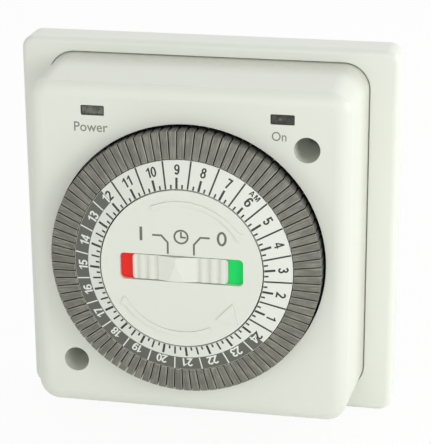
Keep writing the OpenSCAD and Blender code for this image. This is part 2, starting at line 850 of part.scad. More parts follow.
module idler_gear() {
    hole_r = 2;
    hole_at = 7.6;
    color("#F2F2EE") upright() translate(idler_xy) difference() {
        union() {
            layer(wheel_z, wheel_z + wheel_t) wheel_outline(wheel_teeth);
            layer(wheel_z, pinion_top) rotate(half_pinion_tooth) pinion_outline();
        }
        tube(axle_r + running, 0, wheel_z - past, pinion_top + past);
        for (a = [0 : 60 : 300]) rotate(a) translate([hole_at, 0, 0])
            tube(hole_r, 0, wheel_z - past, wheel_z + wheel_t + past);
    }
}

module motor_pinion() {
    color("#C9A557") upright() translate(pinion_xy) {
        layer(wheel_z, wheel_z + wheel_t) pinion_outline();
        tube(shaft_r, 0, motor_top - 2.9, wheel_z + joint_lap);
    }
}

module trip_lever() {
    axis_x = lever_axis[0];
    barrel_r = 1.55;
    barrel = [7.8, 19.9];
    tail = 1.6;
    pad_top = lever_z + lever_t + 0.35;
    nose_top = tappet_foot_z - tappet_travel - 0.15;
    color("#E9E6D8") upright() difference() {
        union() {
            layer(lever_z, lever_z + lever_t) polygon([
                [axis_x, -barrel[1]], [17.4, -20.6], [17.4, -16.8], [22.5, -14.5], [10.5, -11],
                [6.5, -2.4], [tail, -2.2], [tail, 1.6], [9, 1.6], [17, -5.5], [axis_x, -barrel[0]]]);
            layer(lever_z, pad_top) translate([tail, -1.8]) square([3, 3]);
            along_lever_axis() tube(barrel_r, 0, barrel[0], barrel[1]);
            translate([nose_xy[0], nose_xy[1], 0]) rotate(nose_turn)
                layer(lever_z, nose_top) round_rect(3.4, 1.6, 0.5);
        }
        along_lever_axis() tube(lever_pin_r + running, 0, 0, 30);
    }
}

module switch_plunger() {
    dome_z = plunger_top - plunger_r;
    color("#B5402F") upright() translate([plunger_x, switch_xy[1], 0]) {
        tube(plunger_r, 0, switch_top - 1.4, dome_z);
        translate([0, 0, dome_z]) sphere(plunger_r);
    }
}

// ---------------------------------------------------------------- centre disc and slider

// A raised arrow along an arc, with its point at the clockwise end
module arc_arrow() {
    inner_r = 14.4;
    outer_r = 15.4;
    barb_r = 16.1;
    tail = 116;
    neck = 37;
    tip = 28.5;
    polygon(concat(
        [for (a = [tail : -3 : neck]) inner_r * [cos(a), sin(a)]],
        [inner_r * [cos(tip), sin(tip)], barb_r * [cos(neck - 4), sin(neck - 4)]],
        [for (a = [neck : 3 : tail]) outer_r * [cos(a), sin(a)]]));
}

module centre_disc() {
    pointer_at = -44;
    pointer_tip = 17.2;
    pointer_base = 13.1;
    pointer_half = 2.7;
    boss_r = post_r + 2.4;
    boss_bore = post_r + 0.02;
    rim_w = 1.1;
    rim_h = 1;
    web_t = 1;
    web_l = disc_r - boss_r - 0.6;
    tray_wall = 1.2;
    rail_t = 1.1;
    rail_l = 26;
    rail_y = 3.55;
    rail_h = 1.5;
    lap_z = disc_under + joint_lap;
    color("#E3E6DB") upright() difference() {
        union() {
            tube(disc_r, 0, disc_under, disc_z);
            tube(disc_r, disc_r - rim_w, disc_under - rim_h, disc_z);
            tube(boss_r, boss_bore, boss_z, lap_z);
            layer(tray_z, lap_z)
                round_rect(slot_w + 2 * tray_wall, slot_h + 2 * tray_wall, slot_corner);
            for (s = [-1, 1]) translate([0, s * rail_y, 0])
                block(rail_l, rail_t, tray_z - rail_h, tray_z + joint_lap);
            for (a = [30 : 60 : 330]) rotate(a)
                translate([boss_r - 0.2 + web_l / 2, 0, 0]) block(web_l, web_t, disc_under - rim_h, lap_z);
            for (turn = [0, 180]) rotate(turn)
                layer(disc_z - joint_lap, disc_z + relief) arc_arrow();
            rotate(pointer_at) layer(disc_z - joint_lap, disc_z + relief) polygon([
                [pointer_base, -pointer_half], [pointer_base, pointer_half], [pointer_tip, 0]]);
        }
        layer(tray_top, disc_z + past) round_rect(slot_w, slot_h, slot_corner);
        block(2 * (stem_x + slider_travel + stem_gap), 2 * (stem_y + stem_gap),
            tray_z - past, tray_top + past);
        tube(boss_bore, 0, boss_z - past, tray_z - rail_h - 0.1);
    }
}

// A coloured strip on the floor of the slot, on one side of the stem
module flag(side) {
    end_gap = 0.1;
    inner_x = stem_x + slider_travel + 0.4;
    outer_x = slot_w / 2 - end_gap;
    translate([side * (inner_x + outer_x) / 2, 0, 0])
        layer(tray_top, tray_top + flag_t)
            round_rect(outer_x - inner_x, slot_h - 2 * end_gap, slot_corner - end_gap);
}

module red_flag() {
    color("#E62D23") upright() flag(-1);
}

module green_flag() {
    color("#1EDC69") upright() flag(1);
}

// Side view of one rib of the knob: a crest between two lines, a little lower at both
module rib_outline(from, to) {
    half = (to - from) / 2;
    crest_r = (half * half + rib_drop * rib_drop) / (2 * rib_drop);
    intersection() {
        translate([(from + to) / 2, rib_z - crest_r]) circle(crest_r);
        translate([from, knob_base]) square([to - from, rib_z - knob_base + 1]);
    }
}

// Side view of the knob: two slopes that meet in a ridge, and three ribs towards each end
module knob_outline() {
    low = rib_z - rib_drop;
    shoulder = 0.5;
    half = knob_w / 2;
    top = ridge_x - knob_x;
    ends = concat([-half], rib_lines, [half]);
    polygon([[rib_lines[2], knob_base], [rib_lines[2], low], [rib_lines[2] + shoulder, rib_z],
        [top, ridge_z], [rib_lines[3] - shoulder, rib_z], [rib_lines[3], low],
        [rib_lines[3], knob_base]]);
    for (i = [0, 1, 2, 4, 5, 6]) rib_outline(ends[i], ends[i + 1]);
    translate([-half, knob_base]) square([knob_w, low - knob_base - joint_lap / 2]);
}

module override_slider() {
    knob_h = slot_h - 2 * knob_gap;
    cut_l = 8;
    cut_w = 6;
    color("#E3E6DB") upright() {
        difference() {
            translate([knob_x, 0, 0]) intersection() {
                rotate([90, 0, 0]) translate([0, 0, -knob_h / 2]) linear_extrude(knob_h) knob_outline();
                layer(tray_top, ridge_z + past) round_rect(knob_w, knob_h, slot_corner - knob_gap);
            }
            translate([ridge_x, ridge_cut_y, ridge_z]) rotate([ridge_cut_tilt, 0, 0])
                translate([-cut_l / 2, -cut_w, 0]) cube([cut_l, cut_w, 2]);
        }
        block(2 * stem_x, 2 * stem_y, motor_top + 0.15, knob_base + joint_lap);
    }
}

module slider_clip() {
    clip_w = 7.4;
    clip_h = 4.8;
    notch_y = 2.6;
    color("#3A3F41") upright() layer(tray_z - 1.3, tray_z - 0.1) difference() {
        square([clip_w, clip_h], center = true);
        square([2 * stem_x, 2 * stem_y], center = true);
        for (x = [-slider_travel, 0, slider_travel], s = [-1, 1])
            translate([x, s * notch_y]) circle(0.5);
    }
}

// Two leaf springs against the rails, each with a round nose that drops into the clip's notches
module detent_spring() {
    leaf_l = 12;
    leaf_t = 0.25;
    leaf_y = 2.68;
    nose_r = 0.42;
    nose_y = 2.72;
    color("#C4C7C9") upright() layer(tray_z - 1.1, tray_z - 0.3)
        for (s = [-1, 1]) mirror([0, s < 0 ? 1 : 0]) {
            translate([-leaf_l / 2, leaf_y]) square([leaf_l, leaf_t]);
            intersection() {
                translate([0, nose_y]) circle(nose_r);
                translate([-past, nose_y - past]) square([2 * past, past + leaf_y + leaf_t - nose_y]);
            }
        }
}

// ---------------------------------------------------------------- the nodes

back_plate();
terminal_block();
terminal_clamps();
terminal_screws();
plug_sockets();
rear_cover();
plug_pins();
motor();
works_screws();
switch_case();
switch_terminals();
frame_plate();
idler_axle();
lever_pin();
circuit_board();
resistors();
neon_lamps();
power_window();
on_window();
front_cover();
case_screws();
fixing_screws();
centre_disc();
red_flag();
green_flag();
detent_spring();
dial_carrier();
scale_ring();
dial_gear();
clutch_spring();
idler_gear();
motor_pinion();
trip_lever();
switch_plunger();
override_slider();
slider_clip();
tappets(1);  // tappets_01
tappets(2);  // tappets_02
tappets(3);  // tappets_03
tappets(4);  // tappets_04
tappets(5);  // tappets_05
tappets(6);  // tappets_06
tappets(7);  // tappets_07
tappets(8);  // tappets_08
tappets(9);  // tappets_09
tappets(10);  // tappets_10
tappets(11);  // tappets_11
tappets(12);  // tappets_12
tappets(13);  // tappets_13
tappets(14);  // tappets_14
tappets(15);  // tappets_15
tappets(16);  // tappets_16
tappets(17);  // tappets_17
tappets(18);  // tappets_18
tappets(19);  // tappets_19
tappets(20);  // tappets_20
tappets(21);  // tappets_21
tappets(22);  // tappets_22
tappets(23);  // tappets_23
tappets(24);  // tappets_24
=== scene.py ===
"""Looks of a wall-mounted 24 hour segment time switch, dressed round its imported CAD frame.

Pieces that the CAD doesn't hold, such as the printed scale and the legends, are modelled on a
bench in millimetres, in the front view that the part's source uses: x to the right, y up and z
from the wall towards the person in front of it. Bench.hang() then puts each one in the row frame,
in metres, and lets it ride on its body.
"""

import logging
import math
from collections.abc import Callable, Iterator
from contextlib import contextmanager
from dataclasses import dataclass, field
from enum import Enum

import bpy
from mathutils import Matrix, Vector

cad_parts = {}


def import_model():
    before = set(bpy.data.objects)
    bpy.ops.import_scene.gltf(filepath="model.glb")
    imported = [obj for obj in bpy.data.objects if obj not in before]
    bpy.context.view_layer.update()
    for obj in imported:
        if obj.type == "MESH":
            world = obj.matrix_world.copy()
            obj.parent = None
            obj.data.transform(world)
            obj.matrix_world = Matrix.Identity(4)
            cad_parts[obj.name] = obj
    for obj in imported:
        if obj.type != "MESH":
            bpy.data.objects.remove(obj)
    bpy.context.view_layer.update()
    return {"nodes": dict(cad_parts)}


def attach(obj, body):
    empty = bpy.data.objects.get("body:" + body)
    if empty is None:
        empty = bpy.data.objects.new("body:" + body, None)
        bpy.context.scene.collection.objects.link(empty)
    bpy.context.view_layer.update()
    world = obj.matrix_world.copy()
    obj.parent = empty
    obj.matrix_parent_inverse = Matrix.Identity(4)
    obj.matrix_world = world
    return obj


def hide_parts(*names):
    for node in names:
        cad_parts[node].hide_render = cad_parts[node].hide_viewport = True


LOG = logging.getLogger("time_switch")
MM = 0.001
HOURS = range(1, 25)
TAPPETS = tuple(f"tappets_{hour:02d}" for hour in HOURS)

Triple = tuple[float, float, float]
Colour = Place = Triple
Point = tuple[float, float]
Shape = list[list[Point]]
Piece = bpy.types.Object
Socket = bpy.types.NodeSocket
Value = float | Triple | Socket
Inputs = dict[str | int, Value]


class Body(str, Enum):
    """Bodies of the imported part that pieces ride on, apart from the tappets' own."""

    FIXED = "root"
    DIAL = "dial"
    SLIDER = "slider"


# ---------------------------------------------------------------------------- shader building


class Graph:
    """A node tree that is filled and wired by short calls."""

    def __init__(self, tree: bpy.types.NodeTree) -> None:
        """Takes the node tree of a material, a world or a group."""
        self.tree = tree

    def add(self, kind: str, inputs: Inputs | None = None, **settings: object) -> bpy.types.Node:
        """Adds a node.

        Args:
            kind: Blender's node type, without the leading "ShaderNode".
            inputs: What its inputs are given, by name or number: a socket, an RGB colour or a number.
            **settings: Properties of the node.

        Returns:
            The new node.
        """
        node = self.tree.nodes.new(f"ShaderNode{kind}")
        for name, setting in settings.items():
            setattr(node, name, setting)
        for key, value in (inputs or {}).items():
            socket = node.inputs[key]
            if isinstance(value, Socket):
                self.tree.links.new(value, socket)
            else:
                socket.default_value = (*value, 1.0) if socket.type == "RGBA" else value
        return node

    def place(self) -> Socket:
        """Object coordinates, in metres."""
        return self.add("TexCoord").outputs["Object"]

    def axes(self) -> tuple[Socket, Socket, Socket]:
        """The x, y and z of the object coordinates."""
        return tuple(self.add("SeparateXYZ", {0: self.place()}).outputs)

    def math(self, operation: str, *values: Value) -> Socket:
        """The result of one of Blender's Math operations on sockets and numbers."""
        return self.add("Math", dict(enumerate(values)), operation=operation).outputs[0]

    def length(self, first: Socket, second: Socket) -> Socket:
        """Length of a line with these two sides."""
        squares = [self.math("POWER", side, 2.0) for side in (first, second)]
        return self.math("SQRT", self.math("ADD", *squares))

    def around(self, middle: Value, varying: Socket, spread: Value) -> Socket:
        """The middle value, swung by half the spread to each side as the varying one goes from 0 to 1."""
        swing = self.math("MULTIPLY", self.math("SUBTRACT", varying, 0.5), spread)
        return self.math("ADD", middle, swing)

    def blend(self, factor: Value, first: Value, second: Value, mode: str = "MIX") -> Socket:
        """Mixes two colours.

        Args:
            factor: How far to go from the first to the second, 0 to 1.
            first: The colour that shows at factor 0.
            second: The colour that shows at factor 1.
            mode: Blender's blend type.

        Returns:
            The mixed colour.
        """
        # The node has inputs for every data type: 6 and 7 are the colours, and output 2 is theirs.
        node = self.add("Mix", {0: factor, 6: first, 7: second}, data_type="RGBA", blend_type=mode)
        return node.outputs[2]

    def ramp(
        self, value: Socket, low: float, high: float, at_low: float = 0.0, at_high: float = 1.0
    ) -> Socket:
        """Maps a value smoothly from one range to another, and holds it at both ends.

        Args:
            value: The value that varies over the surface.
            low: Start of its range.
            high: End of its range.
            at_low: Result at the start.
            at_high: Result at the end.

        Returns:
            The mapped value.
        """
        ends = {"Value": value, "From Min": low, "From Max": high, "To Min": at_low, "To Max": at_high}
        return self.add("MapRange", ends, interpolation_type="SMOOTHSTEP", clamp=True).outputs["Result"]

    def noise(self, where: Socket, scale: Value, detail: float = 3.0) -> Socket:
        """A noise round 0.5, with so many waves to the unit of its coordinates and so many octaves."""
        return self.add("TexNoise", {"Vector": where, "Scale": scale, "Detail": detail}).outputs["Fac"]

    def bump(self, height: Socket, distance: float, strength: float = 1.0) -> Socket:
        """The normal of a relief, its height of 1 being so many metres."""
        return self.add("Bump", {"Strength": strength, "Distance": distance, "Height": height}).outputs[0]

    def shaders(self, factor: Socket, first: Socket, second: Socket) -> Socket:
        """Mixes two shaders: the first shows at factor 0 and the second at 1."""
        return self.add("MixShader", {0: factor, 1: first, 2: second}).outputs[0]

    def seen_directly(self) -> Socket:
        """Tells what is looked at from the light that falls on things.

        Returns:
            1 for the camera and for what metal and glass show, 0 for all other light.
        """
        path = self.add("LightPath").outputs
        mirrored = self.math("MAXIMUM", path["Is Glossy Ray"], path["Is Transmission Ray"])
        return self.math("MAXIMUM", path["Is Camera Ray"], mirrored)


class Effect(str, Enum):
    """Shader effects that several finishes share, each built once as a node group."""

    TONE = "cloudy_tone"
    GRAIN = "mould_grain"
    WEAR = "dial_scratches"
    STREAK = "drawn_streaks"
    DUST = "level_dust"


class Kind(str, Enum):
    """What a group's input or output carries, by Blender's name of the socket."""

    COLOUR = "NodeSocketColor"
    NUMBER = "NodeSocketFloat"
    VECTOR = "NodeSocketVector"


class EffectGraph(Graph):
    """The inside of an effect's node group."""

    def __init__(self, effect: Effect, takes: dict[Kind, str], gives: dict[Kind, str]) -> None:
        """Makes a group with nothing between its inputs and its outputs.

        Args:
            effect: The effect, which names the group.
            takes: Names of the inputs, by kind.
            gives: Names of the outputs, by kind.
        """
        super().__init__(bpy.data.node_groups.new(effect.value, "ShaderNodeTree"))
        for direction, kinds in (("INPUT", takes), ("OUTPUT", gives)):
            for kind, names in kinds.items():
                for name in names.split():
                    self.tree.interface.new_socket(name=name, in_out=direction, socket_type=kind.value)
        self.given = self.tree.nodes.new("NodeGroupInput").outputs
        self.results = self.tree.nodes.new("NodeGroupOutput").inputs

    def give(self, **results: Socket) -> bpy.types.NodeTree:
        """Ends the group.

        Args:
            **results: What each output puts out.

        Returns:
            The finished group.
        """
        for name, result in results.items():
            self.tree.links.new(result, self.results[name])
        return self.tree


class EffectShelf:
    """Builds each shared effect the first time that a finish asks for it."""

    BROAD = 0.04
    SCRATCHES_ROUND = 110.0
    SCRATCHES_PER_M = 260.0
    WORN_PATCHES_PER_M = 420.0
    DUST_PATCHES_PER_M = 600.0

    def __init__(self) -> None:
        """Starts with an empty shelf."""
        self.groups: dict[Effect, bpy.types.NodeTree] = {}

    def group(self, effect: Effect) -> bpy.types.NodeTree:
        """Looks an effect up, or builds it.

        Args:
            effect: Which effect.

        Returns:
            Its node group.
        """
        if effect not in self.groups:
            builders = {
                Effect.TONE: self.build_tone,
                Effect.GRAIN: self.build_grain,
                Effect.WEAR: self.build_wear,
                Effect.STREAK: self.build_streak,
                Effect.DUST: self.build_dust,
            }
            self.groups[effect] = builders[effect]()
        return self.groups[effect]

    def build_tone(self) -> bpy.types.NodeTree:
        """A faint, cloudy change of tone, as moulded plastic has.

        Returns:
            The group.
        """
        takes = {Kind.COLOUR: "Colour", Kind.NUMBER: "Amount Scale"}
        graph = EffectGraph(Effect.TONE, takes, {Kind.COLOUR: "Colour"})
        clouds = graph.noise(graph.place(), graph.given["Scale"], 2.0)
        shade = graph.around(1.0, clouds, graph.given["Amount"])
        grey = graph.add("CombineColor", {0: shade, 1: shade, 2: shade}).outputs[0]
        return graph.give(Colour=graph.blend(1.0, graph.given["Colour"], grey, "MULTIPLY"))

    def build_grain(self) -> bpy.types.NodeTree:
        """The fine skin of a moulding: roughness that varies a little, and a height for a bump.

        Returns:
            The group.
        """
        takes = {Kind.NUMBER: "Roughness Spread Scale"}
        graph = EffectGraph(Effect.GRAIN, takes, {Kind.NUMBER: "Roughness Height"})
        where, scale = graph.place(), graph.given["Scale"]
        fine = graph.noise(where, scale)
        broad = graph.noise(where, graph.math("MULTIPLY", scale, self.BROAD), 2.0)
        both = graph.math("MULTIPLY", graph.math("ADD", fine, broad), 0.5)
        roughness = graph.around(graph.given["Roughness"], both, graph.given["Spread"])
        return graph.give(Roughness=roughness, Height=fine)

    def build_wear(self) -> bpy.types.NodeTree:
        """Fine scratches that run out from the dial's axis, and painted shade: a wall that darkens towards
        its foot.

        Returns:
            The group.
        """
        takes = {Kind.COLOUR: "Colour Scratched Wall", Kind.NUMBER: "Edge Foot Amount"}
        graph = EffectGraph(Effect.WEAR, takes, {Kind.COLOUR: "Colour"})
        given = graph.given
        x, y, z = graph.axes()
        radius = graph.length(x, z)
        sines = [graph.math("DIVIDE", side, radius) for side in (x, z)]
        across, up = (graph.math("MULTIPLY", sine, self.SCRATCHES_ROUND) for sine in sines)
        out = graph.math("MULTIPLY", radius, self.SCRATCHES_PER_M)
        where = graph.add("CombineXYZ", {"X": across, "Y": out, "Z": up}).outputs[0]
        streaks = graph.ramp(graph.noise(where, 1.0), 0.36, 0.66)
        patches = graph.ramp(graph.noise(graph.place(), self.WORN_PATCHES_PER_M), 0.3, 0.7, 0.25, 1.0)
        mask = graph.math("MULTIPLY", graph.math("MULTIPLY", streaks, patches), given["Amount"])
        worn = graph.blend(mask, given["Colour"], given["Scratched"])
        # Painted shade: from the front edge down to the foot, the colour goes over to the dark wall colour.
        height = graph.math("MULTIPLY", y, -1.0)
        ends = {"Value": height, "From Min": given["Edge"], "From Max": given["Foot"]}
        painted_wall_shade_mask = graph.add("MapRange", ends, interpolation_type="LINEAR", clamp=True).outputs["Result"]
        return graph.give(Colour=graph.blend(graph.math("POWER", painted_wall_shade_mask, 0.5), worn, given["Wall"]))

    def build_streak(self) -> bpy.types.NodeTree:
        """Long fine streaks, as rolled and drawn metal has: a mask and a roughness.

        Returns:
            The group.
        """
        takes = {Kind.NUMBER: "Roughness Spread", Kind.VECTOR: "Stretch"}
        graph = EffectGraph(Effect.STREAK, takes, {Kind.NUMBER: "Mask Roughness"})
        sides = {0: graph.place(), 1: graph.given["Stretch"]}
        stretched = graph.add("VectorMath", sides, operation="MULTIPLY").outputs[0]
        mask = graph.noise(stretched, 1.0, 4.0)
        roughness = graph.around(graph.given["Roughness"], mask, graph.given["Spread"])
        return graph.give(Mask=mask, Roughness=roughness)

    def build_dust(self) -> bpy.types.NodeTree:
        """Painted shade: a darker trace round one height, on low walls and in grooves.

        Returns:
            The group.
        """
        takes = {Kind.COLOUR: "Colour Dust", Kind.NUMBER: "Level Reach"}
        graph = EffectGraph(Effect.DUST, takes, {Kind.COLOUR: "Colour"})
        _, y, _ = graph.axes()
        # Painted shade: darker the nearer the surface lies to the level.
        off = graph.math("ABSOLUTE", graph.math("ADD", y, graph.given["Level"]))
        near = graph.ramp(graph.math("DIVIDE", off, graph.given["Reach"]), 0.3, 1.0, 1.0, 0.0)
        patches = graph.ramp(graph.noise(graph.place(), self.DUST_PATCHES_PER_M, 2.0), 0.3, 0.7, 0.75, 1.0)
        mask = graph.math("MULTIPLY", near, patches)
        return graph.give(Colour=graph.blend(mask, graph.given["Colour"], graph.given["Dust"]))


class MaterialGraph(Graph):
    """The graph of a material, in which the shared effects can be placed."""

    def __init__(self, tree: bpy.types.NodeTree, shelf: EffectShelf) -> None:
        """Takes the material's tree and the shared effects."""
        super().__init__(tree)
        self.shelf = shelf

    def effect(self, effect: Effect, **values: Value) -> bpy.types.bpy_prop_collection:
        """Places an effect whose inputs are given these values, and shows its outputs."""
        return self.add("Group", values, node_tree=self.shelf.group(effect)).outputs

    def grain(self, roughness: float, spread: float, per_m: float) -> tuple[Socket, Socket]:
        """Places the grain of a moulding, and shows its roughness and its height."""
        grain = self.effect(Effect.GRAIN, Roughness=roughness, Spread=spread, Scale=per_m)
        return grain["Roughness"], grain["Height"]


# ---------------------------------------------------------------------------- finishes


@dataclass(frozen=True)
class Finish:
    """A finish that is made into one material."""

    name: str
    carried_by: tuple[str, ...] = field(default=(), kw_only=True)

    def inputs(self, graph: MaterialGraph) -> Inputs:
        """What the material's Principled BSDF is given; each kind of finish has its own."""
        raise NotImplementedError

    def surface(self, graph: MaterialGraph) -> Socket:
        """The shader that the material shows."""
        return graph.add("BsdfPrincipled", self.inputs(graph)).outputs[0]

    def build(self, shelf: EffectShelf) -> bpy.types.Material:
        """Makes the material.

        Args:
            shelf: The shared effects.

        Returns:
            The material.
        """
        material = bpy.data.materials.new(self.name)
        material.use_nodes = True
        material.node_tree.nodes.clear()
        graph = MaterialGraph(material.node_tree, shelf)
        graph.add("OutputMaterial", {"Surface": self.surface(graph)})
        return material


@dataclass(frozen=True)
class Moulded(Finish):
    """A moulded plastic with a faint skin and a faint cloudiness."""

    colour: Colour
    roughness: float
    spread: float = 0.08
    grain_per_m: float = 2600.0
    grain_height: float = 0.00001
    tone: float = 0.035
    tone_per_m: float = 60.0
    specular: float = 0.5

    def tint(self, graph: MaterialGraph) -> Socket:
        """The colour over the surface."""
        tone = graph.effect(Effect.TONE, Colour=self.colour, Amount=self.tone, Scale=self.tone_per_m)
        return tone["Colour"]

    def inputs(self, graph: MaterialGraph) -> Inputs:
        """The colour, roughness and relief of the plastic.

        Args:
            graph: The material's graph.

        Returns:
            Sockets and numbers by the shader's input.
        """
        roughness, height = graph.grain(self.roughness, self.spread, self.grain_per_m)
        return {
            "Base Color": self.tint(graph),
            "Roughness": roughness,
            "Normal": graph.bump(height, self.grain_height),
            "Specular IOR Level": self.specular,
        }


@dataclass(frozen=True)
class Scratched(Moulded):
    """A dull moulding that fingers have scratched outwards, with painted shade darkening its wall below its
    front edge.
    """

    scratched: Colour = (0.3, 0.3, 0.26)
    # Painted shade that the outer wall takes towards its foot.
    wall: Colour = (0.006, 0.006, 0.005)
    edge_mm: float = 33.3
    foot_mm: float = 30.0
    amount: float = 0.9

    def tint(self, graph: MaterialGraph) -> Socket:
        """The colour over the surface, with its scratches and the painted shade on its wall.

        Args:
            graph: The material's graph.

        Returns:
            The colour.
        """
        colours = {"Colour": super().tint(graph), "Scratched": self.scratched, "Wall": self.wall}
        heights = {"Edge": self.edge_mm * MM, "Foot": self.foot_mm * MM}
        return graph.effect(Effect.WEAR, Amount=self.amount, **colours, **heights)["Colour"]


@dataclass(frozen=True)
class Dusted(Moulded):
    """A moulded plastic with painted shade in its grooves or along its low walls."""

    dust: Colour = (0.5, 0.51, 0.44)
    level_mm: float = 36.68
    reach_mm: float = 0.15

    def tint(self, graph: MaterialGraph) -> Socket:
        """The colour over the surface, with its painted shade."""
        dust = {"Dust": self.dust, "Level": self.level_mm * MM, "Reach": self.reach_mm * MM}
        return graph.effect(Effect.DUST, Colour=super().tint(graph), **dust)["Colour"]


@dataclass(frozen=True)
class Metal(Finish):
    """A rolled or drawn metal with fine streaks."""

    colour: Colour
    dull: Colour
    roughness: float
    spread: float = 0.16
    stretch: Triple = (4000.0, 300.0, 4000.0)
    relief: float = 0.000008
    relief_strength: float = 0.6

    def inputs(self, graph: MaterialGraph) -> Inputs:
        """The colour, roughness and relief of the metal.

        Args:
            graph: The material's graph.

        Returns:
            Sockets and numbers by the shader's input.
        """
        values = {"Roughness": self.roughness, "Spread": self.spread, "Stretch": self.stretch}
        streak = graph.effect(Effect.STREAK, **values)
        return {
            "Base Color": graph.blend(streak["Mask"], self.colour, self.dull),
            "Roughness": streak["Roughness"],
            "Normal": graph.bump(streak["Mask"], self.relief, self.relief_strength),
            "Metallic": 1.0,
        }


@dataclass(frozen=True)
class LampLens(Finish):
    """A smoky lens: cloudy in the middle, black at its rim, and pale where its lamp shines through."""

    middle_mm: Point
    colour: Colour
    cloud: Colour
    rim: Colour = (0.01, 0.01, 0.008)
    pale: Colour = (0.36, 0.35, 0.28)
    pale_at_mm: Point = (0.0, 0.0)
    pale_r_mm: float = 0.01
    half_mm: Point = (2.57, 1.09)
    rim_mm: float = 0.3
    black_mm: float = 0.12
    clouds_per_m: float = 1100.0
    cloud_edges: Point = (0.38, 0.66)
    gloss: Triple = (0.22, 0.1, 2200.0)
    relief: float = 0.00001

    def inputs(self, graph: MaterialGraph) -> Inputs:
        """The colour, roughness and relief of the lens.

        Args:
            graph: The material's graph.

        Returns:
            Sockets and numbers by the shader's input.
        """
        x, _, z = graph.axes()
        offs = [graph.math("SUBTRACT", side, middle * MM) for side, middle in zip((x, z), self.middle_mm)]
        sizes = [graph.math("ABSOLUTE", off) for off in offs]
        insets = [graph.math("SUBTRACT", half * MM, size) for half, size in zip(self.half_mm, sizes)]
        from_lamp = [graph.math("SUBTRACT", off, at * MM) for off, at in zip(offs, self.pale_at_mm)]
        cloud = graph.ramp(graph.noise(graph.place(), self.clouds_per_m), *self.cloud_edges)
        lit = graph.ramp(graph.length(*from_lamp), 0.0, self.pale_r_mm * MM, 1.0, 0.0)
        border = graph.ramp(graph.math("MINIMUM", *insets), self.black_mm * MM, self.rim_mm * MM, 1.0, 0.0)
        smoke = graph.blend(lit, graph.blend(cloud, self.colour, self.cloud), self.pale)
        roughness, _ = graph.grain(*self.gloss)
        return {
            "Base Color": graph.blend(border, smoke, self.rim),
            "Roughness": roughness,
            "Normal": graph.bump(cloud, self.relief),
        }


@dataclass(frozen=True)
class LampGlass(Finish):
    """The glass of a small neon lamp, warm where its electrodes shine through."""

    colour: Colour
    warm: Colour
    patches_per_m: float = 350.0
    patch_edges: Point = (0.35, 0.65)
    gloss: Triple = (0.12, 0.06, 900.0)
    clear: float = 0.6

    def inputs(self, graph: MaterialGraph) -> Inputs:
        """The colour and roughness of the glass.

        Args:
            graph: The material's graph.

        Returns:
            Sockets and numbers by the shader's input.
        """
        mask = graph.ramp(graph.noise(graph.place(), self.patches_per_m, 2.0), *self.patch_edges)
        roughness, _ = graph.grain(*self.gloss)
        return {
            "Base Color": graph.blend(mask, self.colour, self.warm),
            "Roughness": roughness,
            "Transmission Weight": self.clear,
        }


@dataclass(frozen=True)
class BandedBody(Finish):
    """The lacquered body of a resistor with colour bands across it."""

    lacquer: Colour
    bands: tuple[Colour, ...]
    bands_at_mm: tuple[float, ...] = (-1.2, -0.55, 0.1, 1.1)
    half_mm: float = 0.16
    fade_mm: float = 0.04
    pitch_mm: float = 9.0
    tone: float = 0.12
    tone_per_m: float = 400.0
    gloss: Triple = (0.3, 0.1, 1500.0)

    def inputs(self, graph: MaterialGraph) -> Inputs:
        """The colour and roughness of the body.

        Args:
            graph: The material's graph.

        Returns:
            Sockets and numbers by the shader's input.
        """
        half_pitch = self.pitch_mm * MM / 2
        along = graph.math("WRAP", graph.axes()[0], half_pitch, -half_pitch)
        tone = graph.effect(Effect.TONE, Colour=self.lacquer, Amount=self.tone, Scale=self.tone_per_m)
        colour = tone["Colour"]
        for at, band in zip(self.bands_at_mm, self.bands):
            off = graph.math("ABSOLUTE", graph.math("SUBTRACT", along, at * MM))
            mask = graph.ramp(off, self.half_mm * MM, (self.half_mm + self.fade_mm) * MM, 1.0, 0.0)
            colour = graph.blend(mask, colour, band)
        roughness, _ = graph.grain(*self.gloss)
        return {"Base Color": colour, "Roughness": roughness}


@dataclass(frozen=True)
class BoardSheet(Finish):
    """A phenolic circuit board with the weave of its paper faintly showing."""

    colour: Colour
    lighter: Colour
    weave_per_m: float = 9000.0
    gloss: Triple = (0.38, 0.12, 1200.0)

    def inputs(self, graph: MaterialGraph) -> Inputs:
        """The colour and roughness of the board.

        Args:
            graph: The material's graph.

        Returns:
            Sockets and numbers by the shader's input.
        """
        x, _, z = graph.axes()
        waves = [graph.math("SINE", graph.math("MULTIPLY", side, self.weave_per_m)) for side in (x, z)]
        weave = graph.ramp(graph.math("MULTIPLY", *waves), -1.0, 1.0)
        roughness, _ = graph.grain(*self.gloss)
        return {"Base Color": graph.blend(weave, self.colour, self.lighter), "Roughness": roughness}


@dataclass(frozen=True)
class PaleFloor(Finish):
    """A pale floor that is nearly white to the camera, and still takes the object's shadow."""

    tones: tuple[Colour, Colour] = ((0.93, 0.93, 0.92), (0.96, 0.96, 0.95))
    clouds_per_m: float = 4.0
    cloud_edges: Point = (0.3, 0.7)
    roughness: float = 0.7
    whitened: float = 0.93

    def inputs(self, graph: MaterialGraph) -> Inputs:
        """The faintly cloudy colour and the plain roughness of the floor."""
        cloud = graph.ramp(graph.noise(graph.place(), self.clouds_per_m, 2.0), *self.cloud_edges)
        return {"Base Color": graph.blend(cloud, *self.tones), "Roughness": self.roughness}

    def surface(self, graph: MaterialGraph) -> Socket:
        """The floor's shader, with a white one over it for the camera and reflections."""
        whitened = graph.math("MULTIPLY", graph.seen_directly(), self.whitened)
        return graph.shaders(whitened, super().surface(graph), graph.add("Emission").outputs[0])


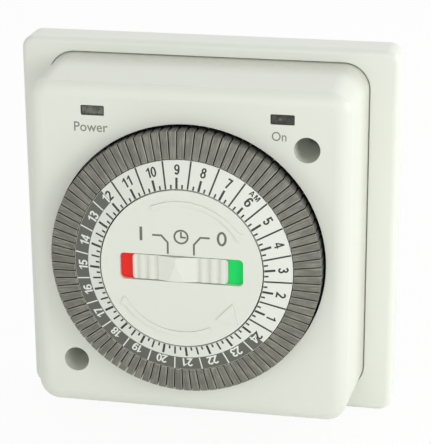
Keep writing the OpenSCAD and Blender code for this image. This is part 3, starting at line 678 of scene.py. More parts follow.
class Dresser:
    """Puts the finishes on the CAD nodes, and keeps the materials of new pieces too, by name."""

    FINISHES = (
        # Painted shade: the cover's walls darken towards the plate.
        Dusted(
            "cover_white", (0.765, 0.785, 0.705), 0.36, grain_height=0.000006, dust=(0.63, 0.64, 0.56),
            level_mm=7.4, reach_mm=12, carried_by=("front_cover", "rear_cover"),
        ),
        # Painted shade on the walls of the disc's raised signs.
        Dusted("disc_white", (0.76, 0.78, 0.70), 0.36, grain_height=0.000006, carried_by=("centre_disc",)),
        Moulded("plate_white", (0.78, 0.80, 0.73), 0.34, grain_height=0.000006, carried_by=("back_plate",)),
        # Painted shade in the low grooves of the knob.
        Dusted(
            "knob_white", (0.77, 0.79, 0.71), 0.30, grain_height=0.000005, dust=(0.65, 0.66, 0.59),
            level_mm=36.16, reach_mm=0.24, carried_by=("override_slider",),
        ),
        Moulded("carrier_white", (0.80, 0.81, 0.76), 0.45, carried_by=("dial_carrier",)),
        Moulded("scale_print", (0.74, 0.76, 0.70), 0.42, tone=0.03, carried_by=("scale_ring",)),
        # Painted shade darkens the tappets' outer walls below their front edge.
        Scratched(
            "tappet_grey", (0.125, 0.125, 0.102), 0.45, grain_height=0.00002, tone=0.12, tone_per_m=260.0,
            scratched=(0.27, 0.27, 0.22), carried_by=TAPPETS,
        ),
        # Painted highlight: the pale colour of the tappets' rounded edges.
        Scratched("tappet_painted_highlight", (0.40, 0.40, 0.34), 0.4, scratched=(0.56, 0.56, 0.48)),
        Moulded(
            "black_plastic", (0.045, 0.05, 0.05), 0.42, tone=0.2,
            carried_by=("terminal_block", "switch_case"),
        ),
        Moulded(
            "deck_grey", (0.075, 0.08, 0.085), 0.48, grain_height=0.00002, tone=0.15,
            carried_by=("frame_plate", "slider_clip"),
        ),
        Moulded(
            "gear_white", (0.82, 0.82, 0.76), 0.38, tone=0.05, tone_per_m=150.0,
            carried_by=("dial_gear", "idler_gear", "trip_lever"),
        ),
        Moulded(
            "flag_red", (0.82, 0.02, 0.012), 0.34, tone=0.05, tone_per_m=300.0, specular=0.25,
            carried_by=("red_flag",),
        ),
        Moulded(
            "flag_green", (0.004, 0.70, 0.13), 0.34, tone=0.05, tone_per_m=300.0, specular=0.25,
            carried_by=("green_flag",),
        ),
        Moulded(
            "plunger_red", (0.45, 0.07, 0.045), 0.35, tone=0.08, tone_per_m=300.0,
            carried_by=("switch_plunger",),
        ),
        Metal(
            "motor_steel", (0.52, 0.53, 0.54), (0.40, 0.41, 0.42), 0.42, stretch=(900.0, 5000.0, 900.0),
            carried_by=("motor",),
        ),
        Metal(
            "brass", (0.72, 0.53, 0.24), (0.52, 0.37, 0.15), 0.3,
            carried_by=("terminal_clamps", "plug_sockets", "plug_pins", "switch_terminals", "motor_pinion"),
        ),
        Metal(
            "steel", (0.66, 0.67, 0.68), (0.50, 0.51, 0.53), 0.26,
            carried_by=(
                "terminal_screws", "works_screws", "case_screws", "fixing_screws",
                "idler_axle", "lever_pin", "detent_spring", "clutch_spring",
            ),
        ),
        LampLens(
            "window_smoke", (-20.7, 32.46), (0.06, 0.065, 0.052), (0.135, 0.14, 0.11),
            carried_by=("power_window",),
        ),
        LampLens(
            "window_smoke_lit", (20.7, 32.46), (0.02, 0.02, 0.016), (0.055, 0.055, 0.044),
            pale=(0.13, 0.125, 0.10), pale_at_mm=(-0.5, 0.0), pale_r_mm=0.6, carried_by=("on_window",),
        ),
        LampGlass("lamp_glass", (0.9, 0.82, 0.75), (0.85, 0.42, 0.2), carried_by=("neon_lamps",)),
        BandedBody(
            "resistor_tan", (0.55, 0.42, 0.24),
            ((0.32, 0.06, 0.02), (0.02, 0.02, 0.02), (0.62, 0.32, 0.02), (0.55, 0.40, 0.12)),
            carried_by=("resistors",),
        ),
        BoardSheet("board_green", (0.085, 0.17, 0.06), (0.12, 0.22, 0.08), carried_by=("circuit_board",)),
        Moulded("scale_ink", (0.022, 0.024, 0.018), 0.5, tone=0.15, tone_per_m=500.0),
        Moulded("band_ink", (0.105, 0.11, 0.09), 0.48, tone=0.10, tone_per_m=300.0),
        Moulded("light_ink", (0.78, 0.80, 0.75), 0.45, tone=0.04, tone_per_m=500.0),
        Moulded("legend_ink", (0.14, 0.14, 0.115), 0.5, tone=0.12, tone_per_m=500.0),
        Moulded("word_ink", (0.22, 0.225, 0.20), 0.5, tone=0.12, tone_per_m=500.0),
    )

    def __init__(self, nodes: dict[str, Piece], shelf: EffectShelf) -> None:
        """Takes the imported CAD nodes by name, and the shared effects."""
        self.nodes, self.shelf = nodes, shelf
        self.materials: dict[str, bpy.types.Material] = {}

    def dress(self) -> None:
        """Gives each node its material."""
        for finish in self.FINISHES:
            material = self.materials[finish.name] = finish.build(self.shelf)
            for name in finish.carried_by:
                mesh = self.nodes[name].data
                mesh.materials.clear()
                mesh.materials.append(material)
            LOG.info("finish %s on %d nodes", finish.name, len(finish.carried_by))


# ---------------------------------------------------------------------------- the bench


class Bench:
    """Models pieces in millimetres in the front view, and hangs them in the row frame."""

    FRONT = Matrix.Rotation(math.pi / 2, 4, "X") @ Matrix.Scale(MM, 4)
    DOUBLES = 0.0002

    @staticmethod
    def clear() -> None:
        """Deselects everything."""
        bpy.ops.object.select_all(action="DESELECT")

    @classmethod
    def pick(cls, *pieces: Piece) -> None:
        """Selects some pieces only and makes the first one active.

        Args:
            *pieces: What to select.
        """
        cls.clear()
        for piece in pieces:
            piece.select_set(True)
        bpy.context.view_layer.objects.active = pieces[0]

    @classmethod
    @contextmanager
    def editing(cls, piece: Piece, action: str = "SELECT") -> Iterator[None]:
        """Opens a piece's mesh for editing.

        Args:
            piece: The piece.
            action: "SELECT" to start with the whole mesh selected, "DESELECT" with none of it.

        Returns:
            A context, at whose end the piece is closed again.
        """
        cls.pick(piece)
        bpy.ops.object.mode_set(mode="EDIT")
        bpy.ops.mesh.select_all(action=action)
        yield
        bpy.ops.object.mode_set(mode="OBJECT")

    @classmethod
    def clean(cls, piece: Piece) -> None:
        """Merges the doubles of a new mesh and turns its faces outwards.

        Args:
            piece: The piece that has the mesh.
        """
        with cls.editing(piece):
            bpy.ops.mesh.remove_doubles(threshold=cls.DOUBLES)
            bpy.ops.mesh.normals_make_consistent(inside=False)

    @classmethod
    def settle(cls, piece: Piece) -> None:
        """Applies the piece's transform to its mesh."""
        cls.pick(piece)
        bpy.ops.object.transform_apply(location=True, rotation=True, scale=True)

    @classmethod
    def modify(cls, piece: Piece, kind: str, **settings: object) -> None:
        """Gives a piece a modifier and applies it.

        Args:
            piece: The piece.
            kind: Blender's type of modifier.
            **settings: Properties of the modifier.
        """
        modifier = piece.modifiers.new(kind.lower(), kind)
        for name, setting in settings.items():
            setattr(modifier, name, setting)
        cls.pick(piece)
        bpy.ops.object.modifier_apply(modifier=modifier.name)

    @classmethod
    def sheet_of(cls, shape: Shape, low: float, high: float) -> Piece:
        """Makes a flat piece from closed outlines, an outline inside another one being a hole.

        Args:
            shape: The outlines.
            low: Height of its back.
            high: Height of its front.

        Returns:
            The mesh piece.
        """
        curve = bpy.data.curves.new("outline", "CURVE")
        curve.dimensions, curve.fill_mode, curve.extrude = "2D", "BOTH", (high - low) / 2
        for outline in shape:
            spline = curve.splines.new("POLY")
            spline.points.add(len(outline) - 1)
            for point, (x, y) in zip(spline.points, outline):
                point.co = (x, y, 0.0, 1.0)
            spline.use_cyclic_u = True
        piece = bpy.data.objects.new("outline", curve)
        bpy.context.scene.collection.objects.link(piece)
        piece.location.z = (high + low) / 2
        cls.to_mesh(piece)
        cls.settle(piece)
        return piece

    @classmethod
    def to_mesh(cls, piece: Piece) -> None:
        """Makes a curve or text a clean mesh.

        Args:
            piece: The curve or text.
        """
        cls.pick(piece)
        bpy.ops.object.convert(target="MESH")
        cls.clean(piece)

    @classmethod
    def joined(cls, name: str, pieces: list[Piece]) -> Piece:
        """Joins pieces into one, with one mesh.

        Args:
            name: The result's name.
            pieces: What to join.

        Returns:
            The joined piece.
        """
        cls.pick(*pieces)
        if len(pieces) > 1:
            bpy.ops.object.join()
        piece = bpy.context.active_object
        piece.name = piece.data.name = name
        return piece

    @staticmethod
    def twin(piece: Piece, move: Matrix) -> Piece:
        """Copies a piece.

        Args:
            piece: The piece.
            move: What moves the copy's mesh.

        Returns:
            The copy, with its own mesh.
        """
        copy = piece.copy()
        copy.data = piece.data.copy()
        copy.data.transform(move)
        bpy.context.scene.collection.objects.link(copy)
        return copy

    @classmethod
    def turned_copies(cls, piece: Piece, angles: list[float]) -> list[Piece]:
        """Copies a piece round the dial's axis, and removes the first.

        Args:
            piece: The piece, drawn on the x axis.
            angles: Directions of the copies, in degrees.

        Returns:
            The copies.
        """
        copies = [cls.twin(piece, Matrix.Rotation(math.radians(angle), 4, "Z")) for angle in angles]
        bpy.data.objects.remove(piece)
        return copies

    @classmethod
    def hang(cls, piece: Piece, body: Body, material: bpy.types.Material, slot: str) -> None:
        """Puts a finished piece in the row frame, with its place in its mesh, and lets it ride.

        Args:
            piece: The piece, in bench millimetres.
            body: The body that it rides on.
            material: Its material.
            slot: Not used.
        """
        piece.data.transform(cls.FRONT)
        piece.data.materials.clear()
        piece.data.materials.append(material)
        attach(piece, body.value)
        LOG.info("piece %s: %d faces on body %s", piece.name, len(piece.data.polygons), body.value)


# ---------------------------------------------------------------------------- softened mouldings


@dataclass
class SoftMouldings:
    """Copies of CAD nodes with the soft edges of real mouldings; each stands for its node."""

    nodes: dict[str, Piece]
    merge_m: float = 0.000002
    sliver_m: float = 0.000004
    flat_deg: float = 0.5
    sharp_deg: float = 32.0

    def copy_of(self, name: str) -> Piece:
        """Copies a node.

        Args:
            name: The node's name.

        Returns:
            A copy with its own mesh, whose loose triangles are merged into faces.
        """
        piece = bpy.data.objects.new(f"{name}_soft", self.nodes[name].data.copy())
        bpy.context.scene.collection.objects.link(piece)
        with Bench.editing(piece):
            bpy.ops.mesh.remove_doubles(threshold=self.merge_m)
            bpy.ops.mesh.dissolve_limited(angle_limit=math.radians(self.flat_deg))
        return piece

    def soften(self, piece: Piece, width_mm: float, steps: int, rim: int = -1) -> None:
        """Rounds every sharp edge of a piece a little.

        Args:
            piece: The piece.
            width_mm: Width of the rounding.
            steps: Number of faces across it.
            rim: Index of the material that the rounding takes, or -1 to keep the piece's.
        """
        Bench.modify(
            piece,
            "BEVEL",
            width=width_mm * MM,
            segments=steps,
            limit_method="ANGLE",
            angle_limit=math.radians(self.sharp_deg),
            use_clamp_overlap=False,
            material=rim,
        )
        with Bench.editing(piece):
            bpy.ops.mesh.dissolve_degenerate(threshold=self.sliver_m)

    @staticmethod
    def stand_in(piece: Piece, name: str, body: str, slot: str, smooth_deg: float) -> None:
        """Evens a piece's shading and lets it stand for its node.

        Args:
            piece: The finished piece.
            name: The node that it stands for.
            body: The body that it rides on.
            slot: Not used.
            smooth_deg: Angle up to which neighbouring faces are shaded as one.
        """
        Bench.pick(piece)
        bpy.ops.object.shade_smooth_by_angle(angle=math.radians(smooth_deg))
        Bench.modify(piece, "WEIGHTED_NORMAL", keep_sharp=True, weight=100)
        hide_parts(name)
        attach(piece, body)
        LOG.info("%s stands for %s: %d faces", piece.name, name, len(piece.data.polygons))


@dataclass
class TappetRing(SoftMouldings):
    """The tappets, their outer corners well rounded and all their edges painted pale as a highlight."""

    outer_r_m: float = 0.0298
    upright_m: float = 0.00001
    corner_mm: float = 0.3
    corner_steps: int = 3
    edge_mm: float = 0.09
    smooth_deg: float = 38.0

    def is_corner(self, first: Vector, second: Vector) -> bool:
        """Whether the edge between two points is an upright corner of a tappet's outer wall."""
        upright = abs(first.x - second.x) + abs(first.z - second.z) < self.upright_m
        return upright and min(math.hypot(end.x, end.z) for end in (first, second)) > self.outer_r_m

    def round_where(self, piece: Piece, wanted: Callable[[Vector, Vector], bool]) -> None:
        """Rounds some edges of a piece well.

        Args:
            piece: The piece.
            wanted: Says from an edge's two ends whether it is rounded.
        """
        with Bench.editing(piece, "DESELECT"):
            bpy.ops.mesh.select_mode(type="EDGE")
        for edge in piece.data.edges:
            edge.select = wanted(*(piece.data.vertices[k].co for k in edge.vertices))
        bpy.ops.object.mode_set(mode="EDIT")
        bpy.ops.mesh.bevel(offset=self.corner_mm * MM, segments=self.corner_steps, affect="EDGES")
        bpy.ops.object.mode_set(mode="OBJECT")

    def make(self, rim: bpy.types.Material) -> None:
        """Makes the tappets of all hours.

        Args:
            rim: The material of their edges, painted pale as a highlight.
        """
        for name in TAPPETS:
            piece = self.copy_of(name)
            piece.data.materials.append(rim)
            self.round_where(piece, self.is_corner)
            # The rounded edges take the second material, a painted highlight.
            self.soften(piece, self.edge_mm, 1, rim=1)
            self.stand_in(piece, name, name, "tappet_grey", self.smooth_deg)


@dataclass
class HubMouldings(SoftMouldings):
    """The centre disc with its raised signs, and the knob, whose flats stay crisp."""

    edge_mm: float = 0.08
    edge_steps: int = 3
    disc_smooth_deg: float = 30.0
    knob_smooth_deg: float = 9.0

    def make(self) -> None:
        """Makes both mouldings."""
        for name, body, slot, smooth_deg in (
            ("centre_disc", Body.FIXED, "cover_white", self.disc_smooth_deg),
            ("override_slider", Body.SLIDER, "knob_white", self.knob_smooth_deg),
        ):
            piece = self.copy_of(name)
            self.soften(piece, self.edge_mm, self.edge_steps)
            self.stand_in(piece, name, body.value, slot, smooth_deg)


# ---------------------------------------------------------------------------- the type


class Outline:
    """Outlines that signs are drawn with."""

    HALF_END = 0.425
    MITRE_LIMIT = 0.3

    @staticmethod
    def arc(
        centre: Point, half_w: float, half_h: float, start: float, end: float, steps: int = 18
    ) -> list[Point]:
        """Points along a part of an ellipse.

        Args:
            centre: The ellipse's middle.
            half_w: Half its width.
            half_h: Half its height.
            start: Direction of the first point, in degrees.
            end: Direction of the last point.
            steps: Number of steps between them.

        Returns:
            The points.
        """
        turns = [math.radians(start + (end - start) * k / steps) for k in range(steps + 1)]
        return [(centre[0] + half_w * math.cos(t), centre[1] + half_h * math.sin(t)) for t in turns]

    @classmethod
    def ellipse(cls, centre: Point, half_w: float, half_h: float, steps: int = 48) -> list[Point]:
        """Closed outline of an ellipse with so many points."""
        return cls.arc(centre, half_w, half_h, 0.0, 360.0, steps)[:-1]

    @classmethod
    def ring(cls, centre: Point, half_w: float, half_h: float, stroke: float) -> Shape:
        """Outlines of an oval stroke round an ellipse, a little thinner at its top and foot."""
        side, end = stroke / 2, stroke * cls.HALF_END
        return [cls.ellipse(centre, half_w + k * side, half_h + k * end, 40) for k in (1, -1)]

    @classmethod
    def stroke(cls, points: list[Point], width: float) -> list[Point]:
        """Outline of a bent line of even width, with mitred corners.

        Args:
            points: The line's points.
            width: Its width.

        Returns:
            The closed outline.
        """
        sides: Shape = [[], []]
        for k, (x, y) in enumerate(points):
            before = Vector(points[k]) - Vector(points[k - 1]) if k else None
            after = Vector(points[k + 1]) - Vector(points[k]) if k + 1 < len(points) else None
            ways = [way.normalized() for way in (before, after) if way is not None]
            mean = sum(ways, Vector((0.0, 0.0))).normalized()
            reach = width / 2 / max(cls.MITRE_LIMIT, mean.dot(ways[0]))
            for side, sign in zip(sides, (1, -1)):
                side.append((x - sign * mean.y * reach, y + sign * mean.x * reach))
        return sides[0] + sides[1][::-1]


@dataclass
class TypeCase:
    """Condensed bold figures and capitals, each cut once at unit height and then copied."""

    low: float
    high: float
    stroke: float = 0.175
    cut: dict[str, Piece] = field(default_factory=dict)

    def drawings(self) -> dict[str, list[Shape]]:
        """Draws all signs but the 9, which is a turned 6.

        Returns:
            The shapes that make up each sign.
        """
        wide, top, foot = self.stroke, 1.0 - self.stroke / 2, self.stroke / 2
        arc, stroke, ring = Outline.arc, Outline.stroke, Outline.ring
        one = [(0.02, 0.0), (0.19, 0.0), (0.19, 1.0), (0.06, 1.0)]
        one += [(-0.05, 0.87), (-0.18, 0.8), (-0.18, 0.66), (0.02, 0.76)]
        four = [(0.05, 0.0), (0.205, 0.0), (0.205, 0.21), (0.29, 0.21), (0.29, 0.35), (0.205, 0.35)]
        four += [(0.205, 1.0), (0.05, 1.0), (-0.28, 0.36), (-0.28, 0.21), (0.05, 0.21)]
        a_right = [(0.135, 0.2), (0.2, 0.0), (0.38, 0.0), (0.09, 1.0)]
        m_right = [(0.07, 0.0), (0.22, 0.66), (0.22, 0.0), (0.4, 0.0), (0.4, 1.0), (0.15, 1.0), (0.0, 0.36)]
        return {
            "0": [ring((0.0, 0.5), 0.19, 0.432, wide)],
            "1": [[one]],
            "2": [[stroke(arc((0.0, 0.71), 0.19, 0.21, 165, -35) + [(-0.19, foot), (0.27, foot)], wide)]],
            "3": [
                [stroke(arc((-0.01, 0.735), 0.185, 0.19, 165, -90) + [(-0.07, 0.545)], wide)],
                [stroke([(-0.07, 0.54)] + arc((-0.01, 0.295), 0.2, 0.235, 90, -165), wide)],
            ],
            "4": [[four, [(0.05, 0.35), (-0.13, 0.35), (0.05, 0.7)]]],
            "5": [
                [stroke([(0.22, top), (-0.13, top), (-0.17, 0.45)], wide)],
                [stroke(arc((0.0, 0.32), 0.19, 0.24, 145, -160), wide)],
            ],
            "6": [
                ring((0.0, 0.32), 0.19, 0.25, wide),
                [stroke(arc((0.02, 0.45), 0.21, 0.47, 180, 45), wide)],
            ],
            "7": [[stroke([(-0.24, top), (0.17, top), (-0.07, 0.0)], wide)]],
            "8": [ring((0.0, 0.74), 0.16, 0.19, wide), ring((0.0, 0.3), 0.19, 0.232, wide)],
            "A": [[a_right + self.mirrored(a_right), [(-0.085, 0.36), (0.085, 0.36), (0.0, 0.74)]]],
            "M": [[m_right + self.mirrored(m_right[:-1])]],
        }

    @staticmethod
    def mirrored(points: list[Point]) -> list[Point]:
        """The same points on the other side of x = 0, in turned order."""
        return [(-x, y) for x, y in reversed(points)]

    def cut_sign(self, sign: str) -> Piece:
        """Cuts one sign at unit height, its overlapping shapes made one.

        Args:
            sign: A figure or capital.

        Returns:
            The sign, with its foot at y = 0 and its middle at x = 0.
        """
        if sign == "9":
            piece = self.cut_sign("6")
            piece.rotation_euler.z = math.pi
            piece.location = (0.0, 1.0, 0.0)
            Bench.settle(piece)
            return piece
        first, *others = [Bench.sheet_of(shape, self.low, self.high) for shape in self.drawings()[sign]]
        for other in others:
            Bench.modify(first, "BOOLEAN", operation="UNION", solver="EXACT", object=other)
            bpy.data.objects.remove(other)
        return first

    def set(self, sign: str, wide: float, tall: float, lift: float) -> Piece:
        """Sets a copy of a sign.

        Args:
            sign: A figure or capital.
            wide: Scale of its width.
            tall: Its height.
            lift: How much higher than its first place it lies.

        Returns:
            The copy.
        """
        if sign not in self.cut:
            self.cut[sign] = self.cut_sign(sign)
        move = Matrix.Translation((0.0, 0.0, lift)) @ Matrix.Diagonal((wide, tall, 1.0, 1.0))
        return Bench.twin(self.cut[sign], move)

    def clear_away(self) -> None:
        """Removes the signs that the copies were made from."""
        for piece in self.cut.values():
            bpy.data.objects.remove(piece)
        self.cut.clear()


# ---------------------------------------------------------------------------- the printed scale


@dataclass
class DialScale:
    """The print on the scale ring: lines, numerals and the dark half for the night hours.

    The ring is a cone. Lengths are in millimetres, radii from the dial's axis; angles are in
    degrees, turning left from the right-hand side.
    """

    materials: dict[str, bpy.types.Material]
    apex_z: float = 36.53
    apex_r: float = 17.8
    slope: float = 0.266
    hour_deg: float = 15.0
    first_line: float = 10.0
    hour_shift: float = -42.7
    start_r: float = 18.15
    quarter_r: float = 19.0
    short_r: float = 20.1
    hour_r: float = 20.45
    band_r: float = 20.85
    light_from_r: float = 20.95
    light_to_r: float = 23.92
    band_end_r: float = 23.98
    outer_r: float = 24.0
    numeral_r: float = 21.05
    numeral_h: float = 2.2
    numeral_mid: float = 1.0
    digit_pitch: float = 1.18
    marked_hour: int = 6
    marked_drop: float = 0.62
    marked_swell: float = 1.15
    mark_r: float = 22.72
    mark_mid_r: float = 23.2
    mark_h: float = 1.14
    mark_swell: float = 1.3
    mark_aside: float = 0.72
    thin: float = 0.37
    fine: float = 0.28
    thick: float = 0.5
    dark_from: float = 137.5
    dark_to: float = 317.5
    edge_deg: float = 0.5
    band_steps: int = 180
    sunk: float = 0.06
    ink: float = 0.012

    def height(self, radius: float) -> float:
        """Height of the cone at a radius."""
        return self.apex_z - self.slope * (radius - self.apex_r)

    def direction(self, hour: int) -> float:
        """Direction of an hour's numeral."""
        return (self.hour_deg * hour + self.hour_shift) % 360

    def wrap(self, piece: Piece, angle: float, radius: float) -> None:
        """Bends a flat piece onto the cone, its y pointing away from the axis.

        Args:
            piece: A piece drawn flat, with its middle at x = 0 and its foot at y = 0.
            angle: Direction of its middle.
            radius: Radius of its foot.
        """
        lean = math.hypot(1.0, self.slope)
        for vertex in piece.data.vertices:
            x, y, z = vertex.co
            out = radius + y / lean
            turn = math.radians(angle) - x / out
            vertex.co = (out * math.cos(turn), out * math.sin(turn), self.height(out) + z)

    def bar(self, inner: float, outer: float, width: float, layer: int = 1) -> Piece:
        """One straight mark along the cone, on the x axis.

        Args:
            inner: Radius where it starts.
            outer: Radius where it ends.
            width: Its width.
            layer: 1 on the ring, 2 on the dark band.

        Returns:
            The mark.
        """
        top = self.ink * layer
        Bench.clear()
        bpy.ops.mesh.primitive_cube_add(size=1.0, location=(0.0, 0.0, (top - self.sunk) / 2))
        piece = bpy.context.active_object
        piece.scale = ((outer - inner) * math.hypot(1.0, self.slope), width, self.sunk + top)
        Bench.settle(piece)
        middle = (inner + outer) / 2
        piece.rotation_euler = (0.0, math.atan(self.slope), 0.0)
        piece.location = (middle, 0.0, self.height(middle))
        Bench.settle(piece)
        return piece

    def lines(self) -> tuple[Piece, Piece]:
        """All marks of the scale.

        Returns:
            The dark marks and the light ones.
        """
        borders = [self.first_line + self.hour_deg * k for k in range(len(HOURS))]
        hours = [border + self.hour_deg / 2 for border in borders]
        quarters = [hour + side * self.hour_deg / 4 for hour in hours for side in (-1, 1)]
        first_dark, last_dark = self.dark_from - self.edge_deg, self.dark_to + self.edge_deg
        light_borders = [border for border in borders if first_dark < border % 360 < last_dark]
        full_borders = [border for border in borders if border not in light_borders]
        marked = min(hours, key=lambda hour: abs(hour - self.direction(self.marked_hour)))
        long_hours = [hour for hour in hours if hour != marked]
        marks = [
            (self.bar(self.start_r, self.quarter_r, self.thin), quarters),
            (self.bar(self.start_r, self.hour_r, self.thick), long_hours),
            (self.bar(self.start_r, self.hour_r - self.marked_drop, self.thick), [marked]),
            (self.bar(self.start_r, self.outer_r, self.thin), full_borders),
            (self.bar(self.start_r, self.short_r, self.thin), light_borders),
        ]
        dark = [copy for piece, angles in marks for copy in Bench.turned_copies(piece, angles)]
        light_mark = self.bar(self.light_from_r, self.light_to_r, self.fine, layer=2)
        light = Bench.turned_copies(light_mark, light_borders)
        return Bench.joined("scale_lines", dark), Bench.joined("scale_lines_light", light)

    def band(self) -> Piece:
        """The dark half ring behind the light numerals, spun from its section.

        Returns:
            The band.
        """
        Bench.clear()
        bpy.ops.mesh.primitive_plane_add(size=1.0, rotation=(math.pi / 2, 0.0, 0.0))
        piece = bpy.context.active_object
        Bench.settle(piece)
        for vertex in piece.data.vertices:
            radius = self.band_r if vertex.co.x < 0 else self.band_end_r
            lift = self.ink if vertex.co.z > 0 else -self.sunk
            vertex.co = (radius, 0.0, self.height(radius) + lift)
        piece.data.transform(Matrix.Rotation(math.radians(self.dark_from), 4, "Z"))
        turn = math.radians(self.dark_from - self.dark_to)
        with Bench.editing(piece):
            bpy.ops.mesh.spin(steps=self.band_steps, angle=turn, center=(0, 0, 0), axis=(0, 0, 1))
        Bench.clean(piece)
        return Bench.joined("scale_band", [piece])

    def numerals(self) -> tuple[Piece, Piece]:
        """The numerals 1 to 24 and the two small capitals, dark or light as the ring behind asks.

        Returns:
            The dark signs and the light ones.
        """
        dark: list[Piece] = []
        light: list[Piece] = []
        types = TypeCase(-self.sunk, self.ink)
        for hour in HOURS:
            marked = hour == self.marked_hour
            foot = self.numeral_r - (self.marked_drop if marked else 0.0)
            wide = self.numeral_h * (self.marked_swell if marked else 1.0)
            digits = str(hour)
            for place, digit in enumerate(digits):
                aside = (place - (len(digits) - 1) / 2) * self.digit_pitch
                turn = self.direction(hour) - math.degrees(aside / (foot + self.numeral_mid))
                on_band = self.dark_from < turn < self.dark_to
                piece = types.set(digit, wide, self.numeral_h, self.ink if on_band else 0.0)
                self.wrap(piece, turn, foot)
                (light if on_band else dark).append(piece)
        for letter, aside in (("A", self.mark_aside), ("M", -self.mark_aside)):
            piece = types.set(letter, self.mark_h * self.mark_swell, self.mark_h, 0.0)
            turn = self.direction(self.marked_hour) + math.degrees(aside / self.mark_mid_r)
            self.wrap(piece, turn, self.mark_r)
            dark.append(piece)
        types.clear_away()
        return Bench.joined("scale_numerals", dark), Bench.joined("scale_numerals_light", light)

    def make(self) -> None:
        """Prints the whole scale on the ring."""
        lines, light_lines = self.lines()
        numerals, light_numerals = self.numerals()
        for piece, ink in (
            (self.band(), "band_ink"),
            (lines, "scale_ink"),
            (numerals, "scale_ink"),
            (light_lines, "light_ink"),
            (light_numerals, "light_ink"),
        ):
            Bench.hang(piece, Body.DIAL, self.materials[ink], "scale_print")


# ---------------------------------------------------------------------------- legends


@dataclass
class Legends:
    """The grey print on the centre disc and beside the lamp windows, in bench millimetres."""

    materials: dict[str, bpy.types.Material]
    disc_z: float = 36.53
    face_z: float = 29.6
    ink: float = 0.012
    sunk: float = 0.06
    on_stroke: float = 0.6
    lead_stroke: float = 0.42
    hand_stroke: float = 0.38
    clock: Point = (0.08, 7.4)
    clock_r: Point = (1.66, 1.25)
    zero: Point = (8.95, 7.5)
    zero_r: tuple[Point, Point] = ((1.08, 1.63), (0.56, 1.13))
    word_weight: float = 0.007
    word_steps: int = 6

    def disc_legend(self) -> Piece:
        """The three positions of the override: on, clock and off, with their leader lines.

        Returns:
            The three signs and both lines as one piece.
        """
        shapes = [
            [Outline.stroke([(-8.72, 6.1), (-8.72, 9.2)], self.on_stroke)],
            [Outline.stroke([(-6.25, 7.5), (-4.25, 7.5), (-2.86, 5.95), (-2.86, 3.4)], self.lead_stroke)],
            [Outline.stroke([(6.35, 7.5), (4.3, 7.5), (2.88, 5.8), (2.88, 3.4)], self.lead_stroke)],
            [Outline.ellipse(self.clock, radius, radius) for radius in self.clock_r],
            [Outline.stroke([(0.08, 8.55), (0.08, 7.3), (1.15, 7.3)], self.hand_stroke)],
            [Outline.ellipse(self.zero, *radii) for radii in self.zero_r],
        ]
        low, high = self.disc_z - self.sunk, self.disc_z + self.ink
        return Bench.joined("disc_legend", [Bench.sheet_of(shape, low, high) for shape in shapes])

    def lamp_word(self, name: str, text: str, height: float, ends: Point, foot: float) -> Piece:
        """A word under a lamp window.

        Args:
            name: The piece's name.
            text: The word.
            height: Height of its capital.
            ends: Where it starts and where it ends.
            foot: Height of its baseline on the face.

        Returns:
            The word.
        """
        Bench.clear()
        bpy.ops.object.text_add()
        piece = bpy.context.active_object
        letters = piece.data
        letters.body, letters.align_x, letters.offset = text, "CENTER", self.word_weight
        letters.extrude, letters.resolution_u = 0.5, self.word_steps
        Bench.to_mesh(piece)
        xs, ys = ([vertex.co[k] for vertex in piece.data.vertices] for k in (0, 1))
        # A descender doesn't count, only the tail that the thickening adds below the baseline.
        tall = max(ys) - max(min(ys), -self.word_weight)
        left, right = ends
        piece.scale = ((right - left) / (max(xs) - min(xs)), height / tall, self.sunk + self.ink)
        piece.location = ((left + right) / 2, foot, self.face_z + (self.ink - self.sunk) / 2)
        Bench.settle(piece)
        return Bench.joined(name, [piece])

    def make(self) -> None:
        """Prints the legends."""
        for piece, ink in (
            (self.disc_legend(), "legend_ink"),
            (self.lamp_word("power_word", "Power", 2.1, (-24.95, -17.45), 27.75), "word_ink"),
            (self.lamp_word("on_word", "On", 2.0, (18.45, 21.6), 27.8), "word_ink"),
        ):
            Bench.hang(piece, Body.FIXED, self.materials[ink], "cover_white")


# ---------------------------------------------------------------------------- studio


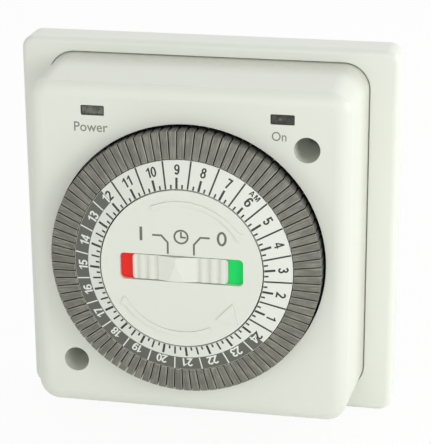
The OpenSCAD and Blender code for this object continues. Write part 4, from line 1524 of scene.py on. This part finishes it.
@dataclass
class Studio:
    """Camera, lamps, world and floor, in metres and degrees."""

    shelf: EffectShelf
    target: Place = (0.00213, -0.010, 0.00184)
    azimuth: float = 11.69
    elevation: float = 19.22
    roll: float = -0.36
    distance: float = 0.40475
    lens_mm: float = 148.3
    sensor_mm: float = 36.0
    clip: Point = (0.01, 20.0)
    lit_point: Place = (0.0, -0.02, 0.0)
    lamps: tuple[tuple[str, Place, float, float], ...] = (
        ("key_right", (0.75, -0.45, 0.25), 0.45, 2.65),
        ("front", (0.05, -1.0, 0.15), 0.8, 3.15),
        ("low_left", (-0.55, -0.45, 0.11), 0.3, 0.33),
        ("behind_right", (0.60, 0.20, 0.20), 0.6, 1.7),
        ("behind_top", (0.0, 0.30, 0.45), 0.6, 0.85),
    )
    world_tint: Colour = (1.0, 1.0, 0.985)
    world_level: float = 0.40
    floor_z: float = -0.0432
    floor_side: float = 6.0

    def camera(self) -> None:
        """Places the camera."""
        az, el = math.radians(self.azimuth), math.radians(self.elevation)
        away = Vector((math.sin(az) * math.cos(el), -math.cos(az) * math.cos(el), math.sin(el)))
        data = bpy.data.cameras.new("camera")
        data.sensor_fit = "HORIZONTAL"
        data.sensor_width, data.lens = self.sensor_mm, self.lens_mm
        data.clip_start, data.clip_end = self.clip
        camera = bpy.data.objects.new("camera", data)
        bpy.context.scene.collection.objects.link(camera)
        stand = Matrix.Translation(Vector(self.target) + self.distance * away)
        turn = (-away).to_track_quat("-Z", "Y").to_matrix().to_4x4()
        camera.matrix_world = stand @ turn @ Matrix.Rotation(math.radians(self.roll), 4, "Z")
        bpy.context.scene.camera = camera

    def lamp(self, name: str, place: Place, side: float, watts: float) -> None:
        """Places a soft square lamp that shines on the object.

        Args:
            name: The lamp's name.
            place: Where it stands.
            side: Its side.
            watts: Its power.
        """
        data = bpy.data.lights.new(name, "AREA")
        data.shape, data.size, data.energy = "SQUARE", side, watts
        lamp = bpy.data.objects.new(name, data)
        bpy.context.scene.collection.objects.link(lamp)
        lamp.location = place
        lamp.rotation_euler = (Vector(self.lit_point) - Vector(place)).to_track_quat("-Z", "Y").to_euler()

    def world(self) -> None:
        """A soft grey surround that shows white to the camera and in reflections."""
        world = bpy.context.scene.world = bpy.data.worlds.new("surround")
        world.use_nodes = True
        world.node_tree.nodes.clear()
        graph = Graph(world.node_tree)
        light = graph.add("Background", {"Color": self.world_tint, "Strength": self.world_level})
        shown = graph.add("Background", {"Color": (1.0, 1.0, 1.0)})
        both = graph.shaders(graph.seen_directly(), light.outputs[0], shown.outputs[0])
        graph.add("OutputWorld", {"Surface": both})

    def floor(self) -> None:
        """A pale floor under the plate's lower edge."""
        Bench.clear()
        bpy.ops.mesh.primitive_plane_add(size=self.floor_side, location=(0.0, 0.0, self.floor_z))
        floor = bpy.context.active_object
        floor.name = "floor"
        floor.data.materials.append(PaleFloor("floor_white").build(self.shelf))

    def build(self) -> None:
        """Sets up the whole studio."""
        bpy.context.scene.view_settings.view_transform = "Standard"
        self.camera()
        self.world()
        for name, place, side, watts in self.lamps:
            self.lamp(name, place, side, watts)
        self.floor()


def main() -> None:
    """Builds the studio, dresses the nodes and adds the softened and the printed pieces."""
    logging.basicConfig(level=logging.INFO, format="%(name)s: %(message)s")
    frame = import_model()
    shelf = EffectShelf()
    Studio(shelf).build()
    dresser = Dresser(frame["nodes"], shelf)
    dresser.dress()
    TappetRing(frame["nodes"]).make(dresser.materials["tappet_painted_highlight"])
    HubMouldings(frame["nodes"]).make()
    DialScale(dresser.materials).make()
    Legends(dresser.materials).make()


if __name__ == "__main__":
    main()
